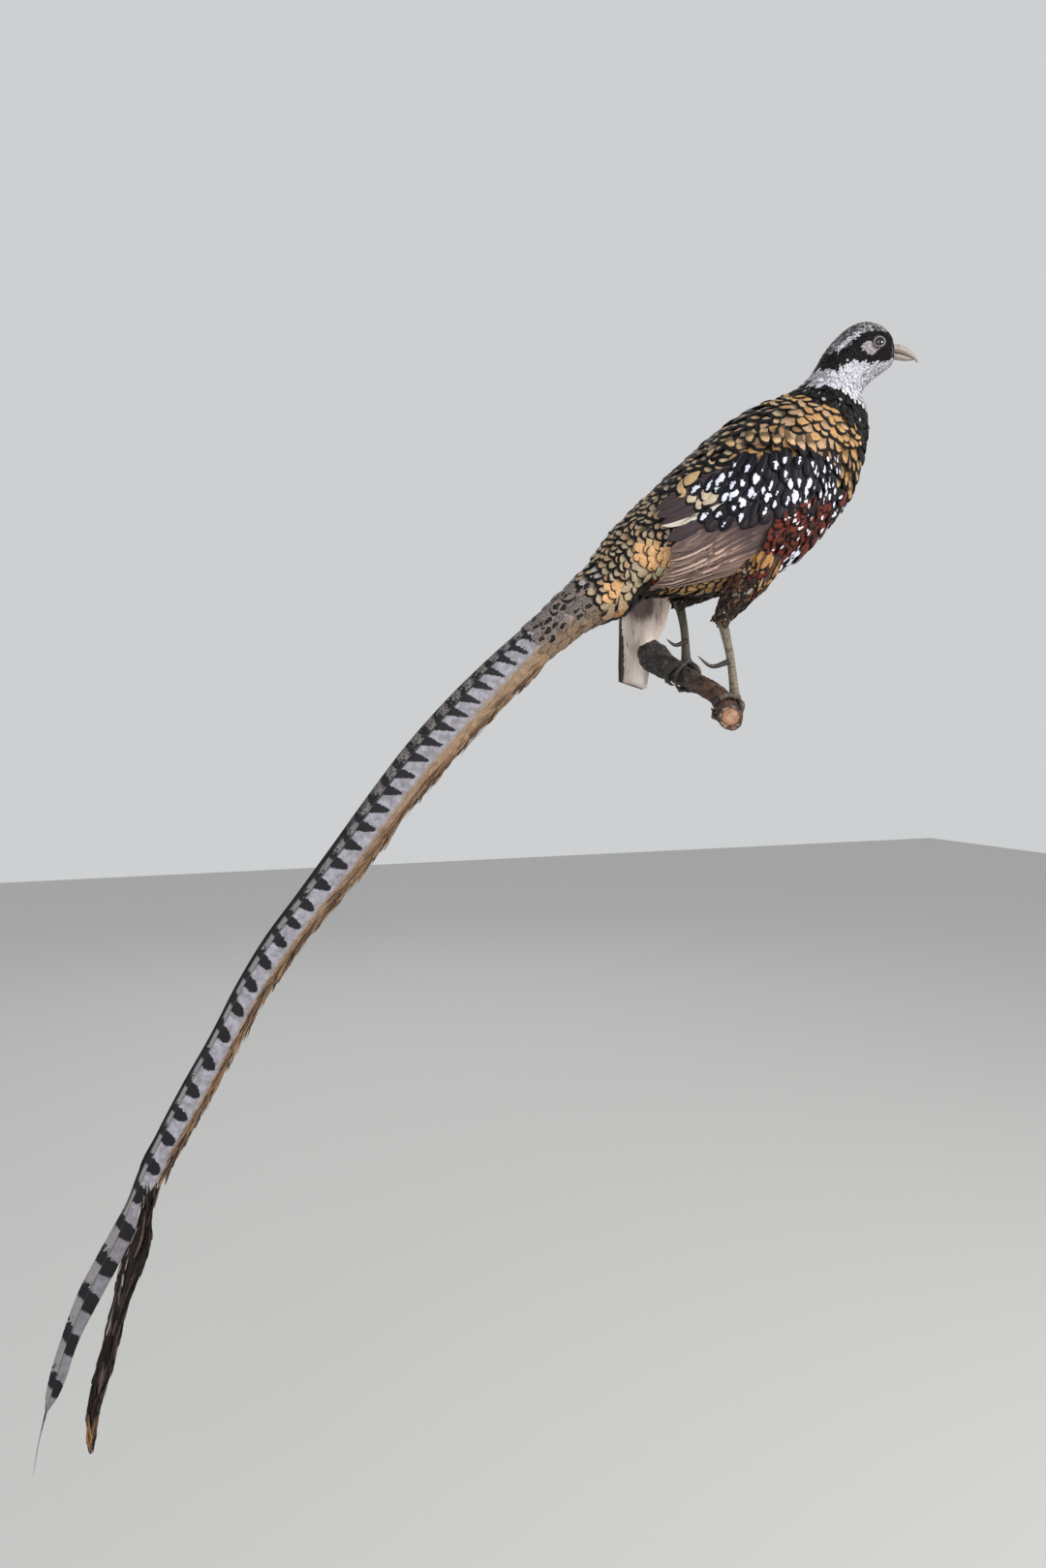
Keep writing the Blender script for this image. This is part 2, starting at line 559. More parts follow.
def marking(row, degrees, chance):
    """The colour of each feather, the colour and width of its border, and those of its spot. Later
    rules cover earlier ones."""
    ground, border, spot = np.zeros((3,) + row.shape + (4,))

    def dye(where, colour, wide=0.0, dot=WHITE, dot_size=0.0, fleck=0.0):
        ground[where] = colour[:3] + (fleck,)
        border[where] = BLACK[:3] + (wide,)
        spot[where] = dot[:3] + (dot_size,)

    def rows(first, last):
        return (row > first) & (row < last)

    def between(low, high):
        return (degrees > np.interp(row, *low)) & (degrees < np.interp(row, *high))

    dye(row > -1, GOLD, wide=0.3)
    dye(chance < 0.4, SAND, wide=0.36)
    dye((degrees > 60) & (row > 10) & (chance > 0.82), tone(160, 120, 84), wide=0.5)
    dye((degrees < 54) & (row > 10.8), BUFF, wide=0.58)
    dye((degrees < 54) & (row > 10.8) & (chance < 0.4), SAND, wide=0.64)
    dye((degrees < 46) & (row > 11.3) & (chance > 0.6), tone(150, 138, 122), wide=0.68)
    dye((degrees > 112) & (row < 11.4), GOLD, wide=0.42)
    dye((degrees > 112) & (row < 11.4) & (chance < 0.35), SAND, wide=0.5)
    dye((row > 10.9) & (degrees > 112), CHESTNUT, wide=0.2)
    flank = rows(11.2, 14.2) & (degrees > np.interp(row, *FLANK_TOP))
    dye(flank, CHESTNUT, wide=0.2)
    dye(flank & (chance > 0.7), tone(70, 30, 24), wide=0.3)
    dye(flank & (chance < 0.27), CHESTNUT, wide=0.3, dot_size=0.5)
    dye(flank & rows(12.7, 13.5) & (degrees > 150), BLACK, dot_size=0.85)
    dye(rows(10.9, 11.6) & (degrees > 108) & (chance < 0.6), BLACK, dot_size=0.6)
    dye(rows(14.0, 16.4) & (degrees > 140), GOLD, wide=0.3)
    dye((row > 13.4) & (degrees > 168), DUSK)
    dye((row > 16.3) & (degrees > 120), DUSK)
    dye(rows(14.9, 18.6) & (degrees < 104), BUFF, wide=0.46)
    dye(rows(14.9, 18.6) & (degrees < 104) & (chance < 0.3), SAND, wide=0.42)
    rump_side = rows(15.55, 16.35) & (degrees > 70)
    dye(rump_side & (degrees < 114), ORANGE, wide=0.1)
    dye(rump_side & (degrees < 114) & (chance < 0.3), tone(222, 190, 138), wide=0.2)
    dye(rump_side & (degrees >= 114) & (degrees < 128), tone(204, 190, 152), wide=0.12)
    dye(rows(16.35, 18.3) & (degrees > 96) & (degrees < 136), BUFF, wide=0.26)
    dye(rows(17.4, 18.2) & (degrees > 84) & (degrees < 108), ORANGE, wide=0.14)
    dye(rows(17.5, 18.5) & (degrees > 36) & (degrees < 68), tone(190, 184, 184), wide=0.5)
    dye(row > 18.35, tone(142, 121, 100), fleck=1.0)
    dye((row > 18.35) & (degrees < 100), tone(134, 124, 120), fleck=1.0)
    dye((row > 18.35) & (degrees < 108) & (chance < 0.66), tone(136, 124, 117), dot=BLACK, dot_size=0.72)
    dye((row > 18.6) & (degrees > 112), tone(150, 126, 104), fleck=0.3)
    ring_top, ring_low = np.interp(degrees, *RING_TOP), np.interp(degrees, *RING_LOW)
    dye(row < ring_low, BLACK)
    dye((row < ring_low) & (row > 8.4) & (chance < 0.14), BLACK, dot=tone(160, 153, 148), dot_size=0.56)
    dye(row < ring_top, WHITE)
    dye((row < ring_top) & (row > 7.2) & (degrees < 62) & (chance < 0.5), tone(188, 186, 192))
    dye((row < 5) & (degrees > 128) & (chance < 0.5), tone(190, 190, 198))
    dye((row < 4.4) & (degrees > 132) & (chance < 0.08), tone(112, 108, 112))
    crown = (row < 6.9) & (degrees < np.interp(row, *MASK_TOP) + 3)
    dye(crown, CROWN_GREY, dot=CROWN_DARK, dot_size=0.6)
    dye(crown & (chance < 0.24), CROWN_DARK, dot=CROWN_GREY, dot_size=0.5)
    dye(crown & (chance > 0.62), CROWN_PALE, dot=CROWN_GREY, dot_size=0.6)
    dye(crown & (row < 3.7) & (chance > 0.5), tone(186, 184, 188), dot=CROWN_GREY, dot_size=0.4)
    dye(between(MASK_TOP, MASK_LOW) & (row < 8), BLACK)
    dye((row < 1.15) & (degrees < 135), BLACK)
    brow = np.abs(degrees - np.interp(row, *BROW_MIDDLE)) < BROW_REACH
    dye(brow & rows(3.75, 5.85), WHITE)
    dye(between(CHEEK_TOP, CHEEK_LOW) & rows(2.1, 3.9), tone(188, 178, 184))
    return ground, border, spot


SKIN_STEPS, SKIN_SIDES = 110, 72
SKIN_ENDS = 20.6  # the row under the tail where it is sewn shut
SKIN_SHADE = 0.6  # how much darker it is than the feathers
skin_rows = np.linspace(0, SKIN_ENDS, SKIN_STEPS + 1)
round_skin = np.linspace(-math.pi, math.pi, SKIN_SIDES + 1)
skin_row, skin_angle = np.meshgrid(skin_rows, round_skin, indexing="ij")
even_chance = np.full(skin_row.shape, 0.5)
skin_paint = marking(skin_row, np.degrees(np.abs(skin_angle)), even_chance)[0] * SKIN_SHADE
skin_paint[..., 3] = 1.0
trunk_skin = rolled(body(skin_row, skin_angle, -coat_depth(skin_row)), skin_paint)


def joined(*forms):
    """Several bmeshes as one."""
    whole = bmesh.new()
    for form in forms:
        passing = bpy.data.meshes.new("passing")
        form.to_mesh(passing)
        form.free()
        whole.from_mesh(passing)
        bpy.data.meshes.remove(passing)
    return whole


def thigh_line(hip, hock):
    """From the hip, over the bend of the knee, to the hock."""
    hip, hock = place(*hip), np.array(hock, float)
    return even_line([hip, (hip + hock) / 2 + KNEE_BEND, hock], THIGH_STEPS)


thighs = {"right": thigh_line(HIP_RIGHT, HOCK_RIGHT), "left": thigh_line(HIP_LEFT, HOCK_LEFT)}
bare_radii = [radius - THIGH_COAT for radius in THIGH_RADII]
bare_thighs = [limb_rings(line, bare_radii, THIGH_SIDES, (1, 0, 0)) for line in thighs.values()]
flesh = joined(trunk_skin, *[rolled(rings, DUSK) for rings in bare_thighs])

branch_run = np.linspace(0, 1, BRANCH_STEPS + 1)
branch_radius = np.interp(branch_run, np.linspace(0, 1, len(BRANCH_RADII)), BRANCH_RADII)
branch_length = run_along(branch_line)[-1]


def over_branch(share, degrees, lift):
    """A place over the bark: a share of the branch, the angle from the top to the bird's front, and
    the height over it."""
    at = np.array([np.interp(share, branch_run, branch_line[:, k]) for k in range(3)])
    ahead = unit(np.array([np.interp(share, branch_run, np.gradient(branch_line[:, k])) for k in range(3)]))
    front_way = np.array([1.0, 0, 0])
    front_way = unit(front_way - ahead * front_way.dot(ahead))
    up_way = unit(np.cross(ahead, front_way))
    up_way = up_way if up_way[2] > 0 else -up_way
    reach = np.interp(share, branch_run, branch_radius) + lift
    angle = math.radians(degrees)
    return at + up_way * math.cos(angle) * reach + front_way * math.sin(angle) * reach


def plates(turns, steps, rows, deep, split=0.0):
    """Overlapping plates: each swells towards its lower end, then drops to the next. split is how
    much finer they are behind."""
    run = np.linspace(0, 1, steps)[:, None]
    angle = full_turn(turns)[None, :]
    facing = (np.cos(angle) + 1) / 2
    saw = (run * rows) % 1.0
    fine = (run * rows * 1.9 + np.round(angle * 2.2 / math.pi) * 0.5) % 1.0
    swell = np.where(saw < 0.8, saw / 0.8, (1 - saw) / 0.2)
    fine_swell = np.where(fine < 0.7, fine / 0.7, (1 - fine) / 0.3)
    seams = np.abs(np.sin(angle * 3.5)) ** 0.25
    return deep * (facing * swell + (1 - facing) * 0.7 * fine_swell * (1 - split + split * seams))


def grooved(colour, swell):
    """The colour of plates, darker in the grooves between them."""
    worn = np.clip(swell / swell.max(), 0, 1)[..., None]
    return np.array(colour) * np.concatenate([np.repeat(0.55 + 0.5 * worn, 3, -1), np.ones_like(worn)], -1)


def ball(centre, radius, sides, rings, paint):
    """A smooth ball, painted by the direction of each place on it."""
    made = bmesh.new()
    bmesh.ops.create_uvsphere(made, u_segments=sides, v_segments=rings, radius=radius * MM)
    marked = made.verts.layers.float_color.new("Marking")
    for vert in made.verts:
        vert[marked] = paint(vert.co.normalized())
    bmesh.ops.translate(made, verts=made.verts, vec=Vector(centre * MM))
    for face in made.faces:
        face.smooth = True
    return made


def leg(hock, ankle, grip, toes, colour):
    """The bare shank and the foot round the branch, as closed forms, with the ends of the toes."""
    hock, ankle = np.array(hock, float), np.array(ankle, float)
    down = unit(ankle - hock)
    bend = (hock + ankle) / 2 + [SHANK_BOW, 0, 0]
    shank_ends = hock - down * SHANK_PAST[0], ankle + down * SHANK_PAST[1]
    shank_line = even_line([shank_ends[0], bend, shank_ends[1]], SHANK_STEPS)
    shank_plates = plates(SHANK_SIDES, SHANK_STEPS, SHANK_SCALES, SHANK_PLATE, 0.5)
    swell = shank_plates - PLATE_SINK
    shank_at = limb_rings(shank_line, SHANK_RADII, SHANK_SIDES, (1, 0, 0), SHANK_FLATNESS, swell)
    toe_colour = tuple(np.array(colour) * TOE_SHADE)
    pad_at = ankle + down * BALL_DROP
    pad = ball(pad_at, BALL_RADIUS, 28, 18, lambda way: toe_colour)
    forms, ends = [rolled(shank_at, grooved(colour, shank_plates)), pad], {}
    for name, (start, end, drift) in toes.items():
        thick = TOE_RADII[name]
        shares = [grip + drift / branch_length * min(1, i / 3) for i in range(TOE_POINTS + 1)]
        points = [pad_at]
        for i in range(1, TOE_POINTS + 1):
            run = i / TOE_POINTS
            lift = thick * (1 - 0.2 * run) + 0.5
            points.append(over_branch(shares[i], start + (end - start) * run, lift))
        toe_line = even_line(points, TOE_STEPS)
        near = [branch_line[np.argmin(np.linalg.norm(branch_line - at, axis=1))] for at in toe_line]
        outward = unit(toe_line - np.array(near))
        ahead = unit(np.gradient(toe_line, axis=0))
        side = unit(outward - ahead * (outward * ahead).sum(1)[:, None])
        knuckles = np.linspace(0, 2 * math.pi * (2 if name == "hind" else 3), TOE_STEPS)[:, None]
        toe_plates = plates(TOE_SIDES, TOE_STEPS, TOE_SCALES[name], TOE_PLATE)
        swell = TOE_JOINT * np.cos(knuckles) + toe_plates - PLATE_SINK
        radii = [part * thick for part in TOE_TAPER]
        toe_at = rings_on(toe_line, side, np.cross(ahead, side), radii, TOE_SIDES, 1.0, swell)
        forms.append(rolled(toe_at, grooved(toe_colour, toe_plates)))
        ends[name] = (shares[-1], end, 1 if end > start else -1)
    return forms, ends


right_leg, right_ends = leg(HOCK_RIGHT, ANKLE_RIGHT, GRIP_RIGHT, TOES_RIGHT, tone(148, 134, 114))
left_leg, left_ends = leg(HOCK_LEFT, ANKLE_LEFT, GRIP_LEFT, TOES_LEFT, tone(84, 74, 62))


def eye_frame(side):
    """The middle of an eye and its directions: out of the head, forward and up. side is 1 for the
    bird's left eye and -1 for its right."""
    centre = place(EYE_AT[0], side * EYE_AT[1], EYE_AT[2])
    forward = unit(place(EYE_AT[0] + 5, 0, 0) - place(EYE_AT[0] - 5, 0, 0))
    up_way = np.array([0, 0, 1.0])
    out = unit(np.cross(forward, up_way) * -side + forward * 0.16 + up_way * 0.05)
    up_way = unit(up_way - out * up_way.dot(out))
    return centre, out, np.cross(up_way, out) * (1 if side < 0 else -1), up_way


def lid(side):
    """The bare skin round an eye: a rim at the glass, then two soft folds."""
    centre, out, forward, up_way = eye_frame(side)
    round_eye = full_turn(LID_SIDES)[:, None, None]
    ring_way = np.cos(round_eye) * forward + np.sin(round_eye) * up_way
    round_rim = full_turn(LID_RIM_SIDES)[None, :, None]
    folds = []
    for open_degrees, reach, thick, colour in LID_FOLDS:
        open_angle = math.radians(open_degrees) - 0.08 * np.abs(np.sin(round_eye)) ** 2
        spot = ring_way * np.sin(open_angle) + out * np.cos(open_angle)
        across_rim = ring_way * np.cos(open_angle) - out * np.sin(open_angle)
        girth = thick * (1 + 0.12 * np.cos(round_eye * 26))
        ring_at = spot * np.cos(round_rim) * girth * 0.8 + across_rim * np.sin(round_rim) * girth * 1.3
        folds.append(rolled(centre + spot * (EYE_RADIUS + reach) + ring_at, colour, ring=True))
    return folds


tanned = Finish("tanned_skin", Roughness=0.6)
pimples = tanned.speckle(700, 3)
tanned.coloured(tanned.painted("Marking"), (pimples.rise(0.45, 0.7) * 0.35, tone(40, 30, 26)))
tanned.bump(pimples, 0.0004, 0.7)

scaly = Finish("scaly_leg_skin", Roughness=0.48)
grime = scaly.speckle(240, 4)
cell_size = {"Vector": scaly.place(), "Scale": 650}
cells = scaly.node("ShaderNodeTexVoronoi", {"feature": "DISTANCE_TO_EDGE"}, cell_size)
scaly.coloured(
    scaly.painted("Marking"),
    (grime.rise(0.42, 0.7) * 0.7, tone(46, 40, 32)),
    ((1 - cells.rise(0.0, 0.1)) * 0.3, tone(30, 26, 22)),
)
scaly.bump(cells.rise(0.0, 0.2) * 0.4 + grime, 0.0003, 0.6)

flesh = joined(flesh, *lid(-1), *lid(1))
legs_made = joined(*right_leg, *left_leg)
for face in legs_made.faces:
    face.material_index = 1
piece(
    "skin", joined(flesh, legs_made), [tanned, scaly], "leg_skin",
    "head", "neck", "trunk", "rump", "thigh_left", "thigh_right",
    "shank_left", "shank_right", "foot_left", "foot_right",
)

# ---------------------------------------------------------------- the eyes
# Each is a blown glass eye, dark brown with a black pupil, set into the head from behind the lids.

eye_glass = Finish("dark_glass_eye", Roughness=0.04, Coat_Weight=1.0, Coat_Roughness=0.02, IOR=1.5)
eye_out = eye_glass.painted("Marking", out="Fac")
iris_fibres = eye_glass.speckle(1500, 3)
iris = eye_glass.mix(iris_fibres.rise(0.3, 0.7), tone(30, 20, 16), tone(50, 36, 30))
pupil = eye_out.rise(0.855, 0.875)
eye_glass.coloured(tone(8, 6, 5), (eye_out.rise(0.6, 0.7), iris), (pupil, tone(3, 3, 3)))

for name, side in (("left", 1), ("right", -1)):
    centre, out, _, _ = eye_frame(side)
    eye = ball(centre, EYE_RADIUS, 48, 32, lambda way: [max(0.0, way.dot(Vector(out)))] * 3 + [1.0])
    piece(f"glass_eye_{name}", eye, [eye_glass], "eye", f"eye_{name}")

# ---------------------------------------------------------------- the bill
# Dry horn over bone, pale at the sides and grey along the ridge and the hooked tip. The upper half
# closes over the lower, and a nostril opens under a small flap on each side.

UPPER_BILL = [
    (203.4, 297, 203.4, 287.4, 6), (209, 295, 209, 285.6, 5.4), (216, 290.5, 216, 282.4, 4.3),
    (221.6, 285.2, 221.6, 279.2, 2.8), (225, 279.8, 224.6, 276, 1.3), (226.4, 276, 225.8, 274.4, 0.5),
]
LOWER_BILL = [
    (203.4, 287, 203.4, 281, 5.4), (209, 285.2, 209, 279.4, 4.8), (215.4, 282.4, 215.4, 278, 3.4),
    (220, 280, 219.8, 277.8, 1.9), (222.4, 278.6, 222.3, 277.9, 0.5),
]
BILL_SIDES = 48
BILL_ROW_STEPS = 14
NOSTRIL = (0.62, 62)  # row and degrees on the upper half
BILL_PINK, BILL_GREY, BILL_TIP = tone(176, 163, 154), tone(110, 104, 100), tone(96, 92, 86)


def hump(value, middle, reach):
    """1 where the value is at the middle, falling softly to 0 a little over a reach away."""
    return np.exp(-(((value - middle) / reach) ** 2))


def ramp(value, start, reach):
    """0 up to the start, 1 from a reach past it, and an even rise between them."""
    return np.clip((value - start) / reach, 0, 1)


def blended(first, second, share):
    return np.array(first) * (1 - share[..., None]) + np.array(second) * share[..., None]


def bill_half(table, upper):
    """One half of the bill. upper is 1 for the half with the ridge and the nostrils, or 0."""
    rows = len(table) - 1
    row = np.linspace(0, rows, rows * BILL_ROW_STEPS + 1)[:, None]
    angle = np.linspace(-math.pi, math.pi, BILL_SIDES + 1)[None, :]
    degrees = np.degrees(np.abs(angle))
    to_tip = row / rows
    nostril = hump(row, NOSTRIL[0], 0.22) * hump(degrees, NOSTRIL[1], 9)
    flap = hump(row, NOSTRIL[0] - 0.05, 0.3) * hump(degrees, NOSTRIL[1] - 20, 9)
    groove_and_lip = (0.25 * hump(degrees, 118, 12) - 0.5 * hump(degrees, 42, 22)) * (1 - to_tip)
    places = form_of(table)(row, angle, upper * (groove_and_lip - 1.5 * nostril + 0.5 * flap))
    paint = blended(BILL_PINK, BILL_GREY, ramp(-degrees, -58, 40) * upper)
    paint = blended(paint, BILL_TIP, ramp(to_tip, 0.62, 0.3) * (0.85 if upper else 0.4))
    paint = paint * (1 - 0.9 * upper * np.clip(nostril * 1.5 - 0.3, 0, 1)[..., None])
    paint[..., 3] = 1
    return rolled(places, paint)


horn = Finish("bill_horn", Roughness=0.42)
horn_streaks = horn.speckle(1.0, 4, horn.stretched(500, 500, 900))
horn.coloured(horn.painted("Marking"), (horn_streaks.rise(0.4, 0.75) * 0.45, tone(120, 92, 74)))
horn.bump(horn_streaks, 0.0003, 0.6)
piece("upper_bill", bill_half(UPPER_BILL, 1), [horn], "bill_horn", "bill_upper")
piece("lower_bill", bill_half(LOWER_BILL, 0), [horn], "bill_horn", "bill_lower")

# ---------------------------------------------------------------- claws and spurs
# Dark horn sheaths: one curved claw at the end of each toe, and the cock's spur behind each shank.

CLAW_RADII = [2.1, 2.0, 1.7, 1.3, 0.8, 0.15]
CLAW_GAP, CLAW_TURN = 2, 46  # degrees round the branch
CLAW_LIFT = 2.9  # over the bark, at its root
CLAW_STEPS, SPUR_STEPS = 30, 40
SPUR_RADII = [3.4, 2.9, 2.5, 2.1, 1.7, 1.1, 0.35]
SPURS = {
    "right": [(26, -157.5, -30.5), (7, -155, -35.5), (-9, -153, -25)],
    "left": [(10, -98.4, -4.4), (-4, -97, -9.3), (-14.5, -96, -3)],
}

claw_horn = Finish("claw_horn", Roughness=0.36)
claw_lines = claw_horn.speckle(1.0, 4, claw_horn.stretched(700, 700, 700))
claw_horn.coloured(tone(30, 25, 22), (claw_lines.rise(0.4, 0.7), tone(82, 70, 58)))
claw_horn.bump(claw_lines, 0.0002, 0.5)

for name, ends in (("right", right_ends), ("left", left_ends)):
    for toe, (share, end, way) in ends.items():
        turns = [end + way * (CLAW_GAP + CLAW_TURN * i / 3) for i in range(4)]
        points = [over_branch(share, turn, CLAW_LIFT - 0.35 * i) for i, turn in enumerate(turns)]
        claw = rolled(limb_rings(even_line(points, CLAW_STEPS), CLAW_RADII, 14, (0, 0, 1), 0.8))
        piece(f"{toe}_claw_{name}", claw, [claw_horn], "claw_horn", f"claw_{toe}_{name}")
    spur_line = even_line(SPURS[name], SPUR_STEPS)
    growth = 0.08 * np.sin(np.arange(SPUR_STEPS) * 1.3)[:, None]  # shallow rings
    spur = rolled(limb_rings(spur_line, SPUR_RADII, 20, (0, 0, 1), 1.0, growth))
    piece(f"leg_spur_{name}", spur, [claw_horn], "claw_horn", f"spur_{name}")

# ---------------------------------------------------------------- small feathers of the head and neck
# Every feather is a thin closed vane on the skin. These are the smallest: they start at the bill,
# leave the eyes clear, lie back over the crown, cheeks and throat, and end under the black ring.

ROUNDED = ([0, 0.3, 0.55, 0.75, 0.9, 1.0], [0.35, 0.8, 1.0, 0.95, 0.72, 0.28])  # half widths along a vane
VANE_THICKNESS = 0.16
SMALL_PATCH = 0.003  # a small feather's side on the baking map
HEAD_SPACING = ([0, 1.5, 3, 5, 7, 9.2], [1.2, 1.3, 1.5, 1.9, 2.7, 3.8])  # at rows of the outline
HEAD_LENGTH = ([0, 1.5, 3, 5, 7, 9.2], [3.2, 4.4, 5.6, 7.2, 10, 13.5])
HEAD_STARTS, HEAD_ENDS = 0.12, 9.0
EYE_CLEARING = 8.7
EYE_CLEARING_AHEAD = 1.5  # because feathers lie back
HEAD_TRIES = 90000
STRIDE = 0.02  # a small step along rows or round the angle, to find which way a surface runs
LEAST_PACE, LEAST_ROUND_PACE = 5, 4  # millimetres a row and a radian, where a surface closes up
UNEVEN_LIE = 0.09  # radians
DEGREES_A_ROW = 18  # round the body, about as far as a row is long
SPACING_KEPT = 0.82  # the share of the spacing that two roots must keep


def blades(surface, row, angle, height, half_width, across, camber, roll, hug):
    """Upper and under faces of vanes whose shafts run through rows and angles of a surface."""
    here = surface(row, angle)
    along = surface(row + STRIDE, angle) - here
    around = surface(row, angle + STRIDE) - here
    up = unit(np.cross(along, around))
    outward = surface(row, angle, 1.0) - here
    up = up * np.sign((up * outward).sum(-1, keepdims=True))
    spine = here + up * height[..., None]
    ahead = unit(np.gradient(spine, axis=1))
    side = unit(np.cross(up, ahead))
    up = np.cross(ahead, side)
    turn = np.broadcast_to(roll, row.shape)[..., None]
    side, up = side * np.cos(turn) + up * np.sin(turn), up * np.cos(turn) - side * np.sin(turn)
    share = np.linspace(-1, 1, across)[:, None]
    reach = half_width[..., None, None] * share
    arch = half_width[..., None, None] * camber * (1 - share**2) - reach**2 * hug / 2
    top = spine[:, :, None] + side[:, :, None] * reach + up[:, :, None] * arch
    return top, top - up[:, :, None] * (VANE_THICKNESS * (1 - share**2))


def walk(surface, row, angle, length, turn, shares):
    """Rows and angles that lines of these lengths pass, at shares of them, lying `turn` off the lie."""
    rows, angles = [row], [angle]
    for step in np.diff(shares):
        here = surface(row, angle)
        pace = np.linalg.norm(surface(row + STRIDE, angle) - here, axis=-1) / STRIDE
        round_pace = np.linalg.norm(surface(row, angle + STRIDE) - here, axis=-1) / STRIDE
        row = row + step * length * np.cos(turn) / np.maximum(pace, LEAST_PACE)
        angle = angle + step * length * np.sin(turn) / np.maximum(round_pace, LEAST_ROUND_PACE)
        rows.append(row)
        angles.append(angle)
    return np.stack(rows, 1), np.stack(angles, 1)


def coat_mesh(name, top, under, vane, patch, paints=None):
    """Closed vanes as one mesh, with their own map, a baking map and their painted values."""
    count, steps, wide = top.shape[:3]
    ring = 2 * wide - 2
    inner = slice(wide - 2, 0, -1)

    def round_ring(upper, lower):
        return np.concatenate([upper, lower[:, :, inner]], 2).reshape(count * steps * ring, -1)

    start = np.arange(count)[:, None, None] * steps * ring
    step = start + np.arange(steps - 1)[None, :, None] * ring
    spot = np.arange(ring)[None, None, :]
    beside = (spot + 1) % ring
    walls = np.stack([step + spot, step + ring + spot, step + ring + beside, step + beside], -1)
    roots = start[:, 0] + np.arange(ring)
    tips = start[:, 0] + (steps - 1) * ring + np.arange(ring)[::-1]
    corners = np.concatenate([walls.ravel(), roots.ravel(), tips.ravel()])
    sizes = np.concatenate([np.full(walls.size // 4, 4), np.full(2 * count, ring)])
    mesh = bpy.data.meshes.new(name)
    mesh.vertices.add(count * steps * ring)
    mesh.vertices.foreach_set("co", (round_ring(top, under) * MM).astype(np.float32).ravel())
    mesh.loops.add(len(corners))
    mesh.loops.foreach_set("vertex_index", corners.astype(np.int32))
    mesh.polygons.add(len(sizes))
    mesh.polygons.foreach_set("loop_start", np.concatenate([[0], np.cumsum(sizes)[:-1]]).astype(np.int32))
    for label, values in (("Vane", vane), ("OFBake", patch)):
        layer = mesh.uv_layers.new(name=label)
        spread = round_ring(values, values)[corners]
        layer.data.foreach_set("uv", spread.astype(np.float32).ravel())
    mesh.uv_layers["OFBake"].active_render = True
    for label, values in (paints or {}).items():
        layer = mesh.attributes.new(label, "FLOAT_COLOR", "POINT")
        spread = np.broadcast_to(values.reshape(count, 1, 1, 4), (count, steps, ring, 4))
        layer.data.foreach_set("color", spread.astype(np.float32).ravel())
    mesh.update()
    mesh.validate()
    mesh.shade_smooth()
    return mesh


def vane_map(count, shares, across):
    """Each vane's own map: across it from 0 to 1, and along it."""
    one = np.stack(np.meshgrid(np.linspace(0, 1, across), shares), -1)
    return np.broadcast_to(one, (count,) + one.shape)


def coat(
    name, surface, row, angle, length, width, dress, slot, nodes=(), *, dice, shape=ROUNDED, across=3,
    camber=0.14, hug=0.0, turn=0.0, unruly=0.1, deep=coat_depth, over=0.1, loose=(-0.1, 0.3),
    patch=SMALL_PATCH, ragged=0.07,
):
    """A piece of many vanes, rooted at rows and angles of a surface and lying back along it. Each
    comes out from `deep` under the surface to `over` it, and its tip is lifted by a random height
    in `loose`. It is dressed for a place about `ragged` rows away, so that no marking ends in an
    even line."""
    shares, halves = shape
    count = len(row)
    rows, angles = walk(surface, row, angle, length, turn + dice.normal(0, UNEVEN_LIE, count), shares)
    share = np.array(shares)[None, :]
    lift = over + dice.uniform(*loose, count)[:, None] * share
    height = -deep(rows) * (1 - share) ** 1.7 + lift
    reach = width[:, None] * np.array(halves)
    roll = dice.normal(0, unruly, count)[:, None]
    top, under = blades(surface, rows, angles, height, reach, across, camber, roll, hug)
    vane = vane_map(count, shares, across)
    root = np.stack([angle / (2 * math.pi) + 0.5, (row - row.min()) / np.ptp(row)], -1)
    patches = np.clip(root, 0.02, 0.98)[:, None, None] + (vane - 0.5) * patch
    chance = dice.random(count)
    near_row = row + dice.normal(0, ragged, count)
    near_degrees = np.degrees(np.abs(angle)) + dice.normal(0, ragged * DEGREES_A_ROW, count)
    ground, border, spot = dress(near_row, near_degrees, chance)
    ground[:, :3] *= dice.uniform(0.84, 1.08, count)[:, None]
    paints = {"Ground": ground, "Border": border, "Spot": spot}
    return piece(name, coat_mesh(name, top, under, vane, patches, paints), [plumage], slot, *nodes)


def scattered(surface, first, last, spacing, dice, tries):
    """Roots spread evenly over rows of a surface, no two closer than the spacing there."""
    row = dice.uniform(first, last, tries)
    angle = dice.uniform(-math.pi, math.pi, tries)
    at = surface(row, angle)
    gaps = np.interp(row, *spacing) * SPACING_KEPT
    taken, kept = {}, []  # roots kept so far, by the box of space they are in
    for k, (x, y, z) in enumerate(np.floor(at / gaps.max()).astype(int)):
        here, least = at[k].tolist(), gaps[k] ** 2
        boxes_near = itertools.product((x - 1, x, x + 1), (y - 1, y, y + 1), (z - 1, z, z + 1))
        near = itertools.chain.from_iterable(taken.get(box, ()) for box in boxes_near)
        if all(sum((a - b) ** 2 for a, b in zip(here, other)) > least for other in near):
            taken.setdefault((x, y, z), []).append(here)
            kept.append(k)
    return row[kept], angle[kept]


